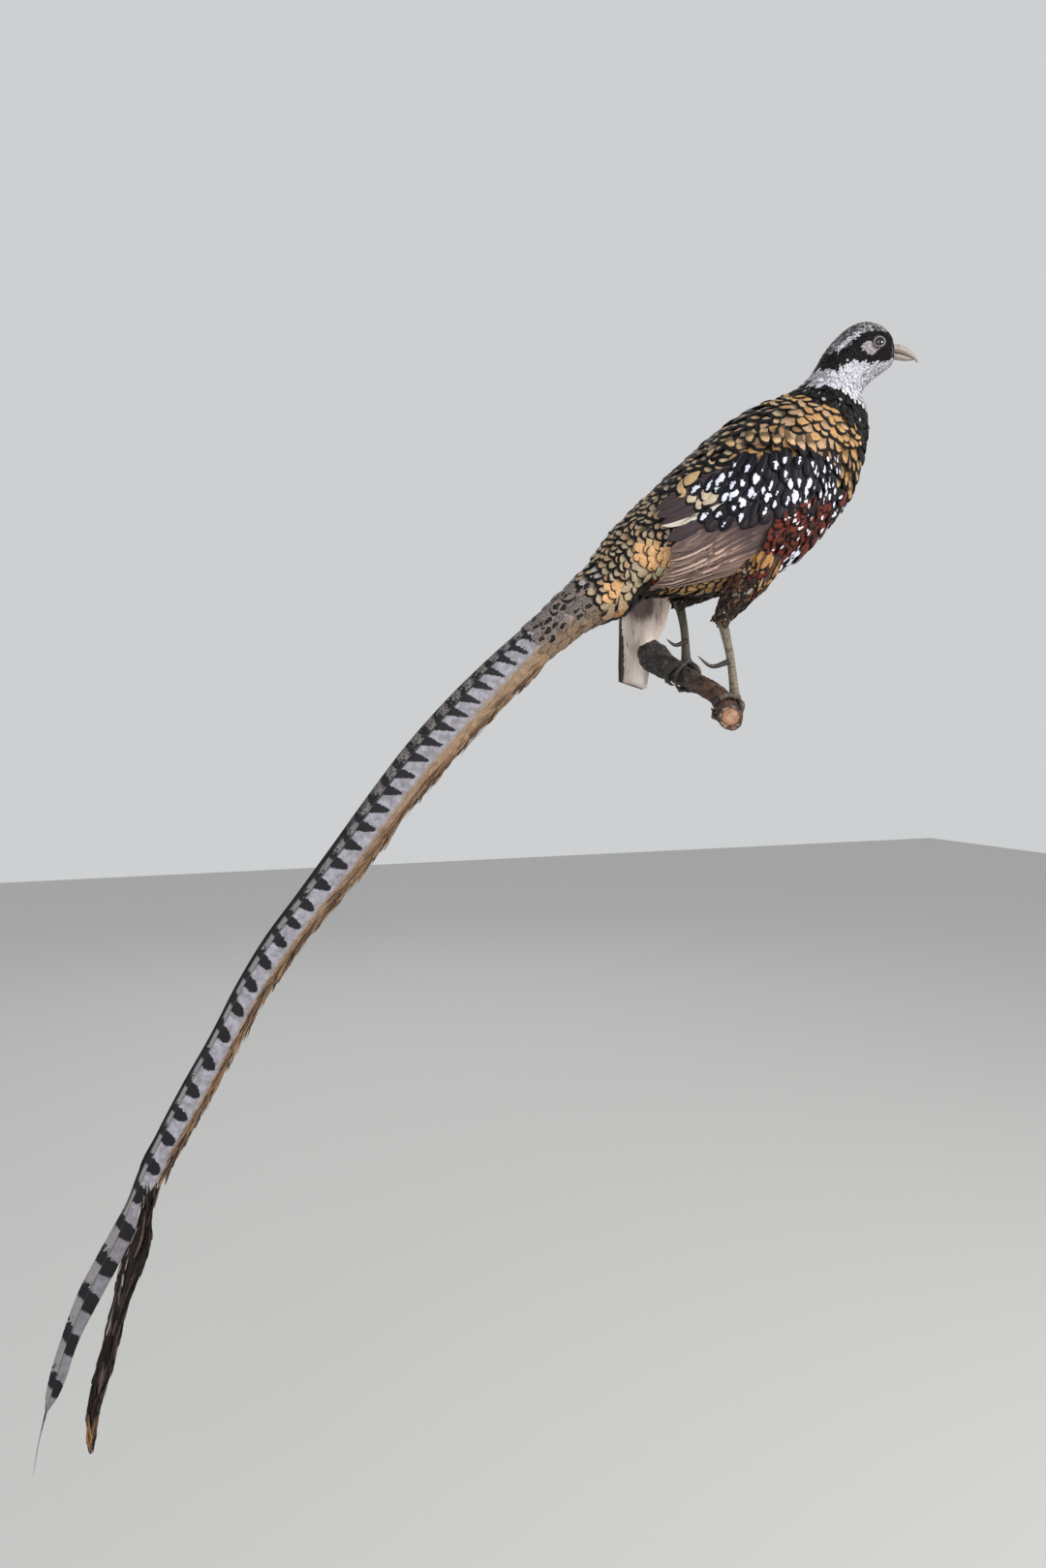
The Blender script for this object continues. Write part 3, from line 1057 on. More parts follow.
plumage = Finish("plumage", Roughness=0.62, Specular_IOR_Level=0.2)
vane_across, vane_along = plumage.across("Vane")
from_shaft = abs(vane_across * 2 - 1)
flecked = plumage.painted("Ground", "Alpha")
border_width = plumage.painted("Border", "Alpha")
spot_size = plumage.painted("Spot", "Alpha")
to_tip = (1 - (1 - vane_along) * 2.4).largest(0.0)
near_tip = vane_along.rise(0.4, 0.85)
to_rim = ((from_shaft * (near_tip * 0.35 + 0.65)) ** 2.5 + to_tip**2.5) ** 0.4
uneven = plumage.speckle(260, 3) - 0.5
border_here = (to_rim - (1 - border_width) + uneven * 0.4).rise(-0.05, 0.06)
border_here = border_here * border_width.rise(0.0, 0.04) * vane_along.rise(0.2, 0.4)
spot_from = (((vane_across - 0.46) * 3.3) ** 2 + ((vane_along - 0.74) * 3.4) ** 2) ** 0.5
spot_ragged = plumage.speckle(170, 2) - 0.5
spot_here = (spot_size - spot_from + uneven * 0.8 + spot_ragged * 2.4).rise(0.0, 0.14)
spot_here = spot_here * spot_size.rise(0.0, 0.05)
barbs = (vane_along * 95 - from_shaft * 22).wave()
mottle = plumage.speckle(420, 4)
flecks = plumage.speckle(520, 3, rough=0.7)
worn = plumage.mix((mottle + barbs * 0.12).rise(0.2, 0.8), tone(188, 186, 184), tone(255, 255, 255))
dark_root = (1 - vane_along.rise(0.38, 0.62)) * border_width.rise(0.26, 0.5) * 0.85
shaft = (1 - from_shaft.rise(0.03, 0.1)) * vane_along.rise(0.1, 0.3) * (1 - vane_along.rise(0.7, 0.95))
plumage.coloured(
    plumage.mix(1.0, plumage.painted("Ground"), worn, "MULTIPLY"),
    (flecks.rise(0.52, 0.6) * flecked * 0.85, tone(52, 42, 36)),
    (dark_root, tone(26, 20, 18)),
    (spot_here, plumage.painted("Spot")),
    (border_here, plumage.painted("Border")),
    (shaft * 0.16, tone(150, 130, 110)),
)
plumage.bump(barbs * 0.25 + mottle * 0.6, 0.0004, 0.5)

dice = np.random.default_rng(11)
row, angle = scattered(body, HEAD_STARTS, HEAD_ENDS, HEAD_SPACING, dice, HEAD_TRIES)
clear = np.ones(len(row), bool)
for side in (-1, 1):
    centre, _, forward, _ = eye_frame(side)
    from_eye = body(row, angle, -1.0) - centre - forward * EYE_CLEARING_AHEAD
    clear &= np.linalg.norm(from_eye, axis=1) > EYE_CLEARING
row, angle = row[clear], angle[clear]
length = np.interp(row, *HEAD_LENGTH) * dice.uniform(0.95, 1.35, len(row))
width = 0.09 * length + 0.24 * np.interp(row, *HEAD_SPACING)
coat(
    "head_feathers", body, row, angle, length, width, marking, "plumage_head",
    dice=dice, unruly=0.09, camber=0.08, loose=(-0.1, 0.22),
)

# ---------------------------------------------------------------- scaled feathers of the body
# Broad rounded vanes in staggered rows, like tiles: golden with black rims on the mantle and breast,
# paler and heavier edged on the back and rump, chestnut with white drops on the flanks.

BROAD = ([0, 0.25, 0.5, 0.7, 0.85, 0.95, 1.0], [0.4, 0.85, 1.0, 0.98, 0.8, 0.5, 0.2])
SCALED = {"shape": BROAD, "across": 5, "camber": 0.2, "hug": 0.012, "patch": 0.018}
BODY_ROWS = (8.35, 19.9)
BODY_SPLIT = 13.4  # where one piece of the coat ends and the next starts
EXPOSED = ([8, 9.5, 11, 12.5, 14, 16, 17.5, 18.7, 20, 21.8], [4.6, 6.6, 9.4, 9.6, 8.2, 7.2, 7.4, 9, 10, 12])
PITCH = ([8, 9.5, 11, 12.5, 14, 16, 17.5, 18.7, 20, 21.8], [5.8, 9, 12, 12.4, 10.6, 9.4, 9.6, 10, 8, 7])
WING_TOP = (
    [10.7, 10.95, 11.76, 12.43, 13, 13.42, 14.02, 14.3, 14.7, 15.1, 15.5, 16, 16.6],
    [116, 110, 91, 74, 61, 57, 50, 42, 43, 48, 54, 66, 84],
)
WING_LOW = ([10.7, 10.9, 11.45, 12.3, 13.5, 15, 16.4, 17.2], [110, 114, 123, 136, 146, 146, 144, 140])
WING_BACK = ([50, 78, 98, 111, 127, 136, 147], [14.6, 14.8, 15.0, 15.3, 15.8, 15.9, 15.9])  # rows
WING_INSIDE = 13  # degrees of the coat that go in under the wing's edge
SWEEP_STEPS = 181
UPPER_SIDE = 1.2  # radians, where the length of a row is measured


def tiled(surface, rows, exposed, pitch):
    """Roots in staggered rows, each row spaced evenly from the middle of the back down both sides."""
    row, roots = rows[0], []
    sweep = np.linspace(0, math.pi, SWEEP_STEPS)
    odd = 0
    while row < rows[1]:
        around = surface(np.full(SWEEP_STEPS, row), sweep)
        run = run_along(around)
        gap = np.interp(row, *pitch)
        at = np.arange(0.5 * odd * gap, run[-1], gap)
        angle = np.interp(at, run, sweep)
        roots += [(row, a) for a in angle] + [(row, -a) for a in angle if a > 0.001]
        pace = np.linalg.norm(surface(row + 0.05, UPPER_SIDE) - surface(row, UPPER_SIDE)) / 0.05
        row += np.interp(row, *exposed) / pace
        odd = 1 - odd
    return np.array(roots).T


def under_wing(row, degrees):
    """Whether a place on the body is well inside the edge of the folded wing."""
    low, high = np.interp(row, *WING_TOP) + WING_INSIDE, np.interp(row, *WING_LOW) - WING_INSIDE
    in_rows = (row > 10.9) & (row < np.interp(degrees, *WING_BACK))
    return in_rows & (degrees > low) & (degrees < high)


dice = np.random.default_rng(23)
row, angle = tiled(body, BODY_ROWS, EXPOSED, PITCH)
keep = ~under_wing(row, np.degrees(np.abs(angle)))
row = row[keep] + dice.normal(0, 0.05, keep.sum())
angle = angle[keep] + dice.normal(0, 0.03, keep.sum())
breast = ramp(np.degrees(np.abs(angle)), 100, 40) * (row < 12)
length = np.interp(row, *EXPOSED) * 2.2 * (1 - 0.1 * breast) * dice.uniform(0.86, 1.2, len(row))
length = length * np.interp(row, [18, 19.5], [1, 1.1])
width = np.interp(row, *PITCH) * 0.66 * dice.uniform(0.88, 1.14, len(row))
for name, part in (("front_feathers", row < BODY_SPLIT), ("back_feathers", row >= BODY_SPLIT)):
    coat(
        name, body, row[part], angle[part], length[part], width[part], marking, "plumage_body",
        dice=dice, unruly=0.16, loose=(-0.2, 1.3), **SCALED,
    )

# ---------------------------------------------------------------- the wings
# Each folded wing stands a little off the body. Navy coverts with white drops lie over it, and the
# long mauve-brown flight feathers come out from under them, the upper ones on top.

WING_LIFT = 4.0
COVERT_ROWS = (10.9, 14.6)
COVERT_LOW = (
    [10.7, 10.9, 11.17, 11.57, 11.9, 12.48, 13.16, 13.59, 13.87, 14.23, 14.53, 15, 15.5],
    [118, 122, 131, 142, 130, 114, 105, 104, 100, 94, 88, 76, 62],
)
COVERT_EXPOSED = ([10.7, 11.4, 12.2, 14, 16], [5.4, 7.6, 11, 12, 12])
COVERT_PITCH = ([10.7, 11.4, 12.2, 14, 16], [4.6, 6.6, 10.5, 11, 11])
COVERT_TURN = ([10.7, 12.5, 13.6, 14.6], [0.85, 0.6, 0.45, 0.3])  # radians down from the lie of the body
QUILLS = [  # row and degrees at the root, half way and at the tip, from the lowest up
    (13.82, 135, 15.2, 134, 16.85, 150), (13.71, 129, 15.1, 126, 16.8, 142),
    (13.62, 125, 15.0, 121, 16.66, 134), (13.55, 121, 14.93, 115, 16.5, 127),
    (13.53, 116, 14.82, 112, 16.32, 122), (13.5, 112, 14.75, 108, 16.18, 117),
    (13.53, 108, 14.7, 104, 16.02, 111), (13.6, 104, 14.65, 99, 15.95, 104),
    (13.72, 98, 14.68, 94, 15.82, 96), (13.88, 93, 14.78, 87, 15.7, 84), (13.8, 86, 14.6, 78, 15.6, 69),
    (13.8, 77, 14.65, 68, 15.55, 59), (13.9, 68, 14.6, 60, 15.4, 52),
]
QUILL_SHAPE = (
    [0, 0.08, 0.2, 0.35, 0.5, 0.62, 0.72, 0.8, 0.87, 0.92, 0.96, 0.985, 1.0],
    [0.5, 0.8, 1, 1, 1, 1, 0.98, 0.94, 0.84, 0.7, 0.5, 0.3, 0.12],
)
QUILL_HALF_WIDTH = 8.5
QUILL_COLUMNS = 9
QUILL_TUCK = 0.55  # rows that the roots are pushed on in under the coverts
SCAPULARS = [  # row and degrees at the root
    (13.35, 30), (12.85, 37), (12.42, 45), (12.15, 54), (11.92, 61), (11.68, 67), (11.42, 75), (11.1, 82),
]
SCAPULAR_TURN = 1.05
SHOWY = SCALED | {"across": 7, "camber": 0.22, "patch": 0.08}  # large ones, placed one by one
VENT_FEATHERS = [(17.55, 110), (17.8, 116), (18.0, 106), (18.15, 116), (17.65, 122)]
FLANK_OVER = (11.9, 14.1)  # rows where chestnut flank feathers lie over the roots of the quills
FLANK_OVER_TOP = ([11.6, 12.1, 12.48, 13.16, 13.6, 14.1], [140, 128, 114, 105, 108, 122])
FLANK_EXPOSED, FLANK_PITCH = ([0], [6.4]), ([0], [7.0])  # the same at every row


def wing(row, angle, out=0.0):
    """The body's surface, raised where the folded wing lies."""
    degrees = np.degrees(np.abs(angle))
    low, high = np.interp(row, *WING_TOP), np.interp(row, *WING_LOW)
    rise = ramp(row, 10.7, 0.9) * ramp(-row, -17.3, 0.8)
    rise = rise * ramp(degrees, low - 10, 14) * ramp(-degrees, -high - 8, 22)
    return body(row, angle, out + WING_LIFT * rise * rise * (3 - 2 * rise))


def dyed(colour, wide, rules, edge=BLACK):
    """One colour and border width for every feather, others where a rule says so, and no spots."""
    ground, border, spot = np.zeros((3,) + rules[0][0].shape + (4,))
    ground[..., :3], border[..., :3], border[..., 3] = colour[:3], edge[:3], wide
    for where, colour_there, wide_there in rules:
        ground[where, :3], border[where, 3] = colour_there[:3], wide_there
    return ground, border, spot


def covert_marking(row, degrees, chance):
    lowest = degrees > np.interp(row, *COVERT_LOW) - 8
    rules = [
        (row > 14.3, tone(50, 36, 40), 0.1),
        ((row > 12.6) & lowest & (chance > 0.2), tone(44, 36, 42), 0.1),
        ((row > 13.8) & (degrees < 54), tone(208, 174, 126), 0.3),
        ((row > 13.8) & (row < 14.3) & (degrees >= 60) & (degrees < 70), tone(222, 206, 176), 0.3),
    ]
    ground, border, spot = dyed(tone(13, 13, 26), 0.1, rules, tone(6, 6, 10))
    spotless = np.any([where for where, *_ in rules], 0)
    spot[:] = tone(222, 224, 238)
    spot[..., 3] = np.where(spotless, 0, np.interp(chance, [0, 0.12, 0.2, 1], [0, 0, 0.45, 0.95]))
    return ground, border, spot


def vent_marking(row, degrees, chance):
    tawny = (chance < 0.4, tone(190, 138, 90), 0.12)
    return dyed(tone(186, 156, 124), 0.12, [tawny], tone(96, 74, 60))


def scapular_marking(row, degrees, chance):
    return dyed(tone(224, 184, 134), 0.46, [(chance < 0.5, tone(214, 178, 146), 0.46)])


quill = Finish("flight_plumage", Roughness=0.52, Specular_IOR_Level=0.3)
quill_numbered, quill_along = quill.across("Vane")
quill_across = quill_numbered.part()  # the map counts feathers in its whole numbers
quill_chance = ((quill_numbered - quill_across) * 0.381).part()
thin_lines = quill.lines(quill_numbered * 11, quill_along * 2.2)
streaks = quill.speckle(1.0, 5, thin_lines, 0.65)
fine_streaks = quill.speckle(2.6, 4, thin_lines, 0.7)
broken = quill.speckle(1.0, 3, quill.lines(quill_numbered * 3, quill_along * 3.5))
root_shade = (1 - (quill_along - quill_numbered * 0.045 + streaks * 0.2).rise(0.25, 0.5)) * 0.85
upper_quill = quill_numbered.rise(9.0, 9.01)  # the upper ones are plum, without pale edges
plum_brown = quill.mix(streaks.rise(0.3, 0.7), tone(40, 30, 34), tone(74, 58, 62))
edge_share = (quill_chance.rise(0.2, 0.8) * 0.8 + 0.2) * (broken + streaks * 0.5).rise(0.56, 0.8)
pale_edge = quill_across.rise(0.64, 0.78) * (1 - quill_across.rise(0.84, 0.89)) * edge_share
pale_edge = pale_edge.largest((fine_streaks * 0.7 + broken * 0.3).rise(0.52, 0.64) * 0.55)
pale_edge = pale_edge * quill_along.rise(0.15, 0.45) * (1 - upper_quill) * (1 - root_shade * 0.8)
cream_edge = quill_numbered.rise(10.62, 10.68) * (1 - quill_numbered.rise(10.98, 11.0))
cream_edge = cream_edge * quill_along.rise(0.2, 0.3)
frayed_cream = cream_edge * (fine_streaks * 0.5 + broken).rise(0.56, 0.7)
dark_edge = quill_across.rise(0.86, 0.94) * (1 - cream_edge)
quill_shaft = 1 - abs(quill_across - 0.5).rise(0.015, 0.035)
quill_lines = (quill_along * 300 - quill_across * 60).wave()
quill.coloured(
    tone(66, 49, 50),
    (streaks.rise(0.36, 0.62), tone(166, 138, 124)),
    (quill_chance.rise(0.4, 0.8) * 0.6, tone(66, 50, 52)),
    (quill_numbered.rise(5.5, 8.4) * 0.6, tone(70, 54, 56)),
    (root_shade, tone(64, 50, 54)),
    (upper_quill, plum_brown),
    (pale_edge, tone(218, 184, 166)),
    (frayed_cream, tone(214, 204, 190)),
    (dark_edge, tone(30, 21, 23)),
    (quill_shaft * 0.8, tone(86, 62, 52)),
)
quill.bump(quill_lines * 0.3 + quill_shaft * 2 + streaks * 0.6, 0.0004, 0.6)

for name, side in (("right", 1), ("left", -1)):
    dice = np.random.default_rng(31 + side)
    row, angle = tiled(wing, COVERT_ROWS, COVERT_EXPOSED, COVERT_PITCH)
    degrees = np.degrees(angle)
    keep = (degrees > np.interp(row, *WING_TOP) - 1) & (degrees < np.interp(row, *COVERT_LOW) - 1)
    row = row[keep] + dice.normal(0, 0.04, keep.sum()) - 0.2
    angle = side * (angle[keep] + dice.normal(0, 0.02, keep.sum()))
    length = np.interp(row, *COVERT_EXPOSED) * 2.3 * dice.uniform(0.9, 1.12, len(row))
    width = np.interp(row, *COVERT_PITCH) * 0.62 * dice.uniform(0.9, 1.1, len(row))
    coat(
        f"wing_coverts_{name}", wing, row, angle, length, width, covert_marking, "plumage_wing",
        [f"wing_{name}"], dice=dice, unruly=0.14, over=2.6, ragged=0.03, loose=(-0.2, 1.0),
        turn=side * np.interp(row, *COVERT_TURN), **SCALED | {"across": 7, "patch": 0.02},
    )
    row, angle = tiled(wing, FLANK_OVER, FLANK_EXPOSED, FLANK_PITCH)
    degrees = np.degrees(angle)
    keep = (degrees > np.interp(row, *FLANK_OVER_TOP) + 2) & (degrees < 152)
    row, angle = row[keep] + dice.normal(0, 0.05, keep.sum()) - 0.3, side * angle[keep]
    length, width = dice.uniform(14, 19, len(row)), dice.uniform(4.2, 5.4, len(row))
    coat(
        f"flank_feathers_{name}", wing, row, angle, length, width, marking, "plumage_body",
        dice=dice, unruly=0.2, over=2.4, loose=(-0.2, 1.6), **SCALED,
    )
    row, angle = np.array(VENT_FEATHERS).T
    length, width = dice.uniform(27, 33, len(row)), dice.uniform(6.5, 8, len(row))
    coat(
        f"vent_feathers_{name}", body, row, side * np.radians(angle), length, width, vent_marking,
        "plumage_body", dice=dice, unruly=0.2, over=1.2, turn=side * 0.8, **SHOWY,
    )
    row, angle = np.array(SCAPULARS).T
    length, width = dice.uniform(22, 26, len(row)), dice.uniform(5.2, 6.4, len(row))
    coat(
        f"scapulars_{name}", wing, row, side * np.radians(angle), length, width, scapular_marking,
        "plumage_wing", dice=dice, unruly=0.16, over=3.2, ragged=0.0, turn=side * SCAPULAR_TURN, **SHOWY,
    )
    stacks = []
    shares, halves = np.array(QUILL_SHAPE)
    for k, path in enumerate(QUILLS):
        rows, degrees = curve_at(np.reshape(path, (3, 2)), shares).T[:, None]
        rows, angles = rows - QUILL_TUCK * (1 - shares), side * np.radians(degrees)
        height = (0.1 + (0.3 + 0.3 * k) * shares)[None, :]
        reach = QUILL_HALF_WIDTH * halves[None, :]
        top, under = blades(wing, rows, angles, height, reach, QUILL_COLUMNS, 0.05, 0.0, 0.014)
        vane = vane_map(1, shares, QUILL_COLUMNS).copy()
        if side < 0:
            vane[..., 0] = 1 - vane[..., 0]
        strip = (k + 0.1 + 0.8 * vane[..., 0]) / len(QUILLS)
        patch = np.stack([0.02 + 0.96 * vane[..., 1], strip], -1)
        vane[..., 0] = k + 0.02 + 0.96 * vane[..., 0]
        stacks.append((top, under, vane, patch))
    mesh = coat_mesh(f"flight_quills_{name}", *map(np.concatenate, zip(*stacks)))
    piece(f"flight_quills_{name}", mesh, [quill], "plumage_flight", f"flight_feathers_{name}")

# ---------------------------------------------------------------- the thighs
# Short loose feathers, almost black, cover each thigh down to the hock, with tawny ones near the top.

THIGH_ROWS = len(THIGH_RADII) - 1
THIGH_ROW_LENGTH = 25  # of a row past the hock
THIGH_FEATHERS = 900


def thigh_form(line):
    """A thigh as a surface: rows from the hip to the hock, and an angle round it."""
    side_way, other_way = frames_on(line, np.array([1.0, 0, 0]))
    beyond = unit(line[-1] - line[-2])
    steps = np.arange(len(line))

    def surface(row, angle, out=0.0):
        row, angle, out = np.broadcast_arrays(np.asarray(row, float), angle, out)
        at = np.clip(row / THIGH_ROWS, 0, 1) * steps[-1]
        middle_at, side_at, other_at = [
            np.stack([np.interp(at, steps, part[:, k]) for k in range(3)], -1)
            for part in (line, side_way, other_way)
        ]
        reach = (np.interp(row, np.arange(THIGH_ROWS + 1), THIGH_RADII) + out)[..., None]
        past = beyond * (np.maximum(row - THIGH_ROWS, 0) * THIGH_ROW_LENGTH)[..., None]
        turn = angle[..., None]
        return middle_at + past + (side_at * np.cos(turn) + other_at * np.sin(turn)) * reach

    return surface


def thigh_marking(row, degrees, chance):
    return dyed(tone(40, 30, 27), 0.0, [
        (chance > 0.66, tone(88, 66, 54), 0.0),
        (chance > 0.93, tone(184, 174, 166), 0.25),
        ((row < 3.0) & (chance < 0.3), tone(150, 104, 62), 0.3),
        ((row < 1.7) & (chance < 0.62), tone(192, 142, 84), 0.3),
        ((row < 2.4) & (chance < 0.16), tone(104, 38, 24), 0.2),
        ((row > 4.2) & (chance < 0.3), tone(84, 70, 58), 0.0),
    ])


for name, line in thighs.items():
    dice = np.random.default_rng(41)
    form = thigh_form(line)
    row = dice.uniform(0.02, THIGH_ROWS - 0.05, THIGH_FEATHERS)
    angle = dice.uniform(-math.pi, math.pi, THIGH_FEATHERS)
    length = np.interp(row, [0, 3, 5], [19, 13, 8]) * dice.uniform(0.8, 1.2, THIGH_FEATHERS)
    coat(
        f"thigh_feathers_{name}", form, row, angle, length, length * 0.19, thigh_marking, "plumage_body",
        dice=dice, deep=lambda rows: THIGH_COAT, camber=0.2, unruly=0.25, loose=(-0.2, 1.6), ragged=0.1,
    )

# ---------------------------------------------------------------- the tail
# Two very long middle feathers, silver with black crescents, lie back to back with their shafts along
# the top. Shorter tawny ones, frayed at their edges and ends, show below them.

TAIL_BASE, TAIL_FORK = 18, 33  # rows of the outline
LONG_FROM, LONG_STEPS, LONG_COLUMNS = 19.2, 900, 13
LATERAL_FROM, LATERAL_STEPS, LATERAL_COLUMNS = 19.4, 150, 9
TIP_LEFT = [  # both tips go on from the outline at the fork, and are named as seen from the front
    (-594.5, -578, -582, -585.5, 2.6), (-607, -600, -587.5, -611, 2.2), (-626, -633, -605.5, -645, 1.9),
    (-641, -661, -622, -674, 1.6), (-658, -706, -643, -714, 1.3), (-671, -748, -657, -755, 1.1),
    (-677, -778, -670, -782, 0.9), (-682, -807, -679, -808.5, 0.7), (-686.5, -838, -685.3, -838.5, 0.5),
]
TIP_RIGHT = [
    (-580.5, -586, -571, -591.5, 2.6), (-587.5, -613.5, -573, -621, 3.4), (-600, -638, -580.5, -647, 4.2),
    (-611, -684, -597.5, -690, 4.2), (-622.5, -731.5, -609, -738, 3.6), (-634, -779, -623.5, -783.5, 2.6),
    (-636, -813.5, -629, -816.5, 1.5), (-635.5, -831, -631.5, -832, 0.8),
]
SHAFT_LINE = (
    [18, 21, 22, 24, 26, 28, 30, 31.5, 33, 34.5, 42],
    [30, 48, 58, 63, 63, 59, 57, 59, 66, 78, 88],
)
SILVER_TOP = ([18, 32.6, 33.4, 42], [-6, -6, 2, 2])
SILVER_LOW = ([18, 20, 22, 27, 30, 32.4, 33.2, 42], [96, 104, 118, 124, 132, 136, 178, 178])
BARS = (  # how many bars lie above each row of the tail
    [19, 20, 21.2, 22.45, 23.8, 25.2, 26.85, 28.85, 31, 32.5, 34, 35, 36.1, 37, 38.1, 39.2, 40.4, 42],
    [-3, 0, 4, 8, 12, 16, 20, 24, 28, 30, 31, 32, 33, 34, 35, 36, 37, 38],
)
BARE_LEFT = ([36, 37.6, 38.4, 38.9, 41], [1, 0.95, 0.7, 0.16, 0.12])  # how full the worn vane is
BARE_RIGHT = ([37, 38.6, 39.6, 40], [1, 1, 0.7, 0.3])
DUSKY_FROM = 31.6
LATERALS = [21.6, 22.5, 23.6, 24.8, 26.1, 27.4, 28.7, 31.3]  # the rows where the tawny feathers end
FRINGE = 620
BARBS = 420  # loose ones along the dusky tip
STRAY = {"camber": 0.2, "unruly": 0.5, "ragged": 0.1}  # how barbs and the fringe lie
SHAFT_AT = 0.28  # the share of the long feather's width above its shaft
RIBBON_THICKNESS = 0.45


def ribbon(form, rows, lines, out, side, along, across, island):
    """One long feather over a tail form, as faces and maps. Its lines are the degrees of its upper
    edge, its shaft and its lower edge at each row, and along is its marking there."""
    share = np.linspace(0, 1, across)[::side]
    degrees = np.stack([np.interp(share, [0, SHAFT_AT, 1], here) for here in np.transpose(lines)])
    angle = side * np.radians(degrees)
    ridge = out[:, None] + 0.5 * hump(share, SHAFT_AT, 0.06)
    thin = RIBBON_THICKNESS * np.sin(math.pi * np.clip(share, 0.02, 0.98)) ** 0.4
    top, under = form(rows[:, None], angle, ridge), form(rows[:, None], angle, ridge - thin)
    vane = np.stack(np.meshgrid(share, along), -1)
    strip = island[0] + (island[1] - island[0]) * share
    patch = np.stack(np.meshgrid(np.linspace(0.01, 0.99, len(rows)), strip, indexing="ij"), -1)
    return [part[None] for part in (top, under, vane, patch)]


tail_silver = Finish("barred_tail_plumage", Roughness=0.55, Specular_IOR_Level=0.3)
bar_across, bar_along = tail_silver.across("Vane")
bar_noise = tail_silver.speckle(300, 4) - 0.5
lower_vane = (bar_across - SHAFT_AT) / (1 - SHAFT_AT)
upper_vane = (SHAFT_AT - bar_across) / SHAFT_AT
tip_bars = bar_along.rise(29.5, 31.5)
clean = bar_along.rise(9, 23)  # the bars get slimmer and cleaner down the tail, and lean the other way
lean = clean * 0.75 - 0.55 - tip_bars * 0.12
low_phase = (bar_along - lower_vane * lean + bar_noise * 0.22 + 0.5).part() - 0.5
high_shift = 0.3 - clean * 0.14
high_phase = (bar_along + high_shift + upper_vane * 0.1 + bar_noise * 0.5 + 0.5).part() - 0.5
low_phase = low_phase + bar_noise * 0.5 * (1 - bar_along.rise(0, 6))
blunt = (lower_vane.largest(0.0) * 1.3) ** 3
wedge_half = 0.31 - lower_vane.largest(0.0) * 0.32
low_half = wedge_half + (0.24 - blunt * (0.22 - tip_bars * 0.2) - wedge_half) * clean
low_bar = (low_half - abs(low_phase)).rise(-0.02, 0.03) * bar_across.rise(SHAFT_AT - 0.01, SHAFT_AT)
low_bar = low_bar * (1 - (lower_vane - tip_bars * 0.5).rise(0.68, 0.78))
high_half = 0.3 - clean * 0.08 - upper_vane * 0.16 * (1 - clean)
high_bar = (high_half - abs(high_phase) + bar_noise * (1.3 - clean * 0.9)).rise(-0.03, 0.06)
high_bar = high_bar * (1 - bar_across.rise(SHAFT_AT - 0.01, SHAFT_AT))
shaft_bar = (1 - abs(bar_across - SHAFT_AT - 0.01).rise(0.012, 0.03)) * (0.85 - clean * 0.35)
dark_margin = (upper_vane + bar_noise * 0.1).rise(0.3, 0.42) * bar_along.rise(10, 16) * (1 - tip_bars)
tail_mottle = tail_silver.speckle(150, 4).rise(0.3, 0.7)
tan_mottle = tail_silver.speckle(120, 4).rise(0.3, 0.7)
tan = tail_silver.mix(tan_mottle, tone(158, 138, 122), tone(132, 116, 104))
silver = tail_silver.layers(
    tone(168, 165, 174),
    (tail_mottle, tone(128, 124, 132)),
    (tip_bars * 0.6, tone(104, 100, 104)),
    ((lower_vane + bar_noise * 0.2).rise(0.76, 0.94), tan),
)
dusky_mottle = tail_silver.speckle(420, 4).rise(0.4, 0.62)
dark_here = low_bar.largest(high_bar).largest(shaft_bar).largest(dark_margin)
tail_silver.coloured(
    tone(126, 122, 118),
    (dusky_mottle, tone(66, 60, 60)),
    (clean * 0.85, tone(136, 131, 131)),
    (bar_across.rise(SHAFT_AT - 0.02, SHAFT_AT + 0.02), silver),
    (dark_here, tone(18, 15, 20)),
)
tail_barbs = (bar_along * 90 - abs(bar_across - SHAFT_AT) * 60).wave()
tail_silver.bump(tail_barbs * 0.3 + bar_noise * 0.5, 0.0006, 0.6)

tail_tan = Finish("tawny_tail_plumage", Roughness=0.6, Specular_IOR_Level=0.25)
tan_noise = tail_tan.speckle(180, 4)
tan_fine = tail_tan.speckle(520, 3)
tail_tan.coloured(
    tone(162, 134, 108),
    (tan_noise.rise(0.3, 0.7), tone(132, 106, 84)),
    (tan_fine.rise(0.5, 0.66) * 0.4, tone(100, 76, 60)),
)
tail_tan.bump(tan_fine, 0.0004, 0.6)

tail_dusky = Finish("dusky_tail_plumage", Roughness=0.6, Specular_IOR_Level=0.25)
dusky_across, dusky_along = tail_dusky.across("Vane")
dusky_streaks = tail_dusky.speckle(1.0, 4, tail_dusky.lines(dusky_across * 9, dusky_along * 1.2))
rusty = dusky_streaks.rise(0.42, 0.6) * dusky_along.rise(34.6, 35.6)  # only near its end
tail_dusky.coloured(
    tone(26, 20, 20),
    (dusky_streaks.rise(0.46, 0.68), tone(100, 86, 78)),
    (rusty * 0.8, tone(164, 122, 84)),
    (dusky_across.rise(0.6, 0.9) * 0.8, tone(22, 18, 20)),
)
tail_dusky.bump(dusky_streaks, 0.0005, 0.6)

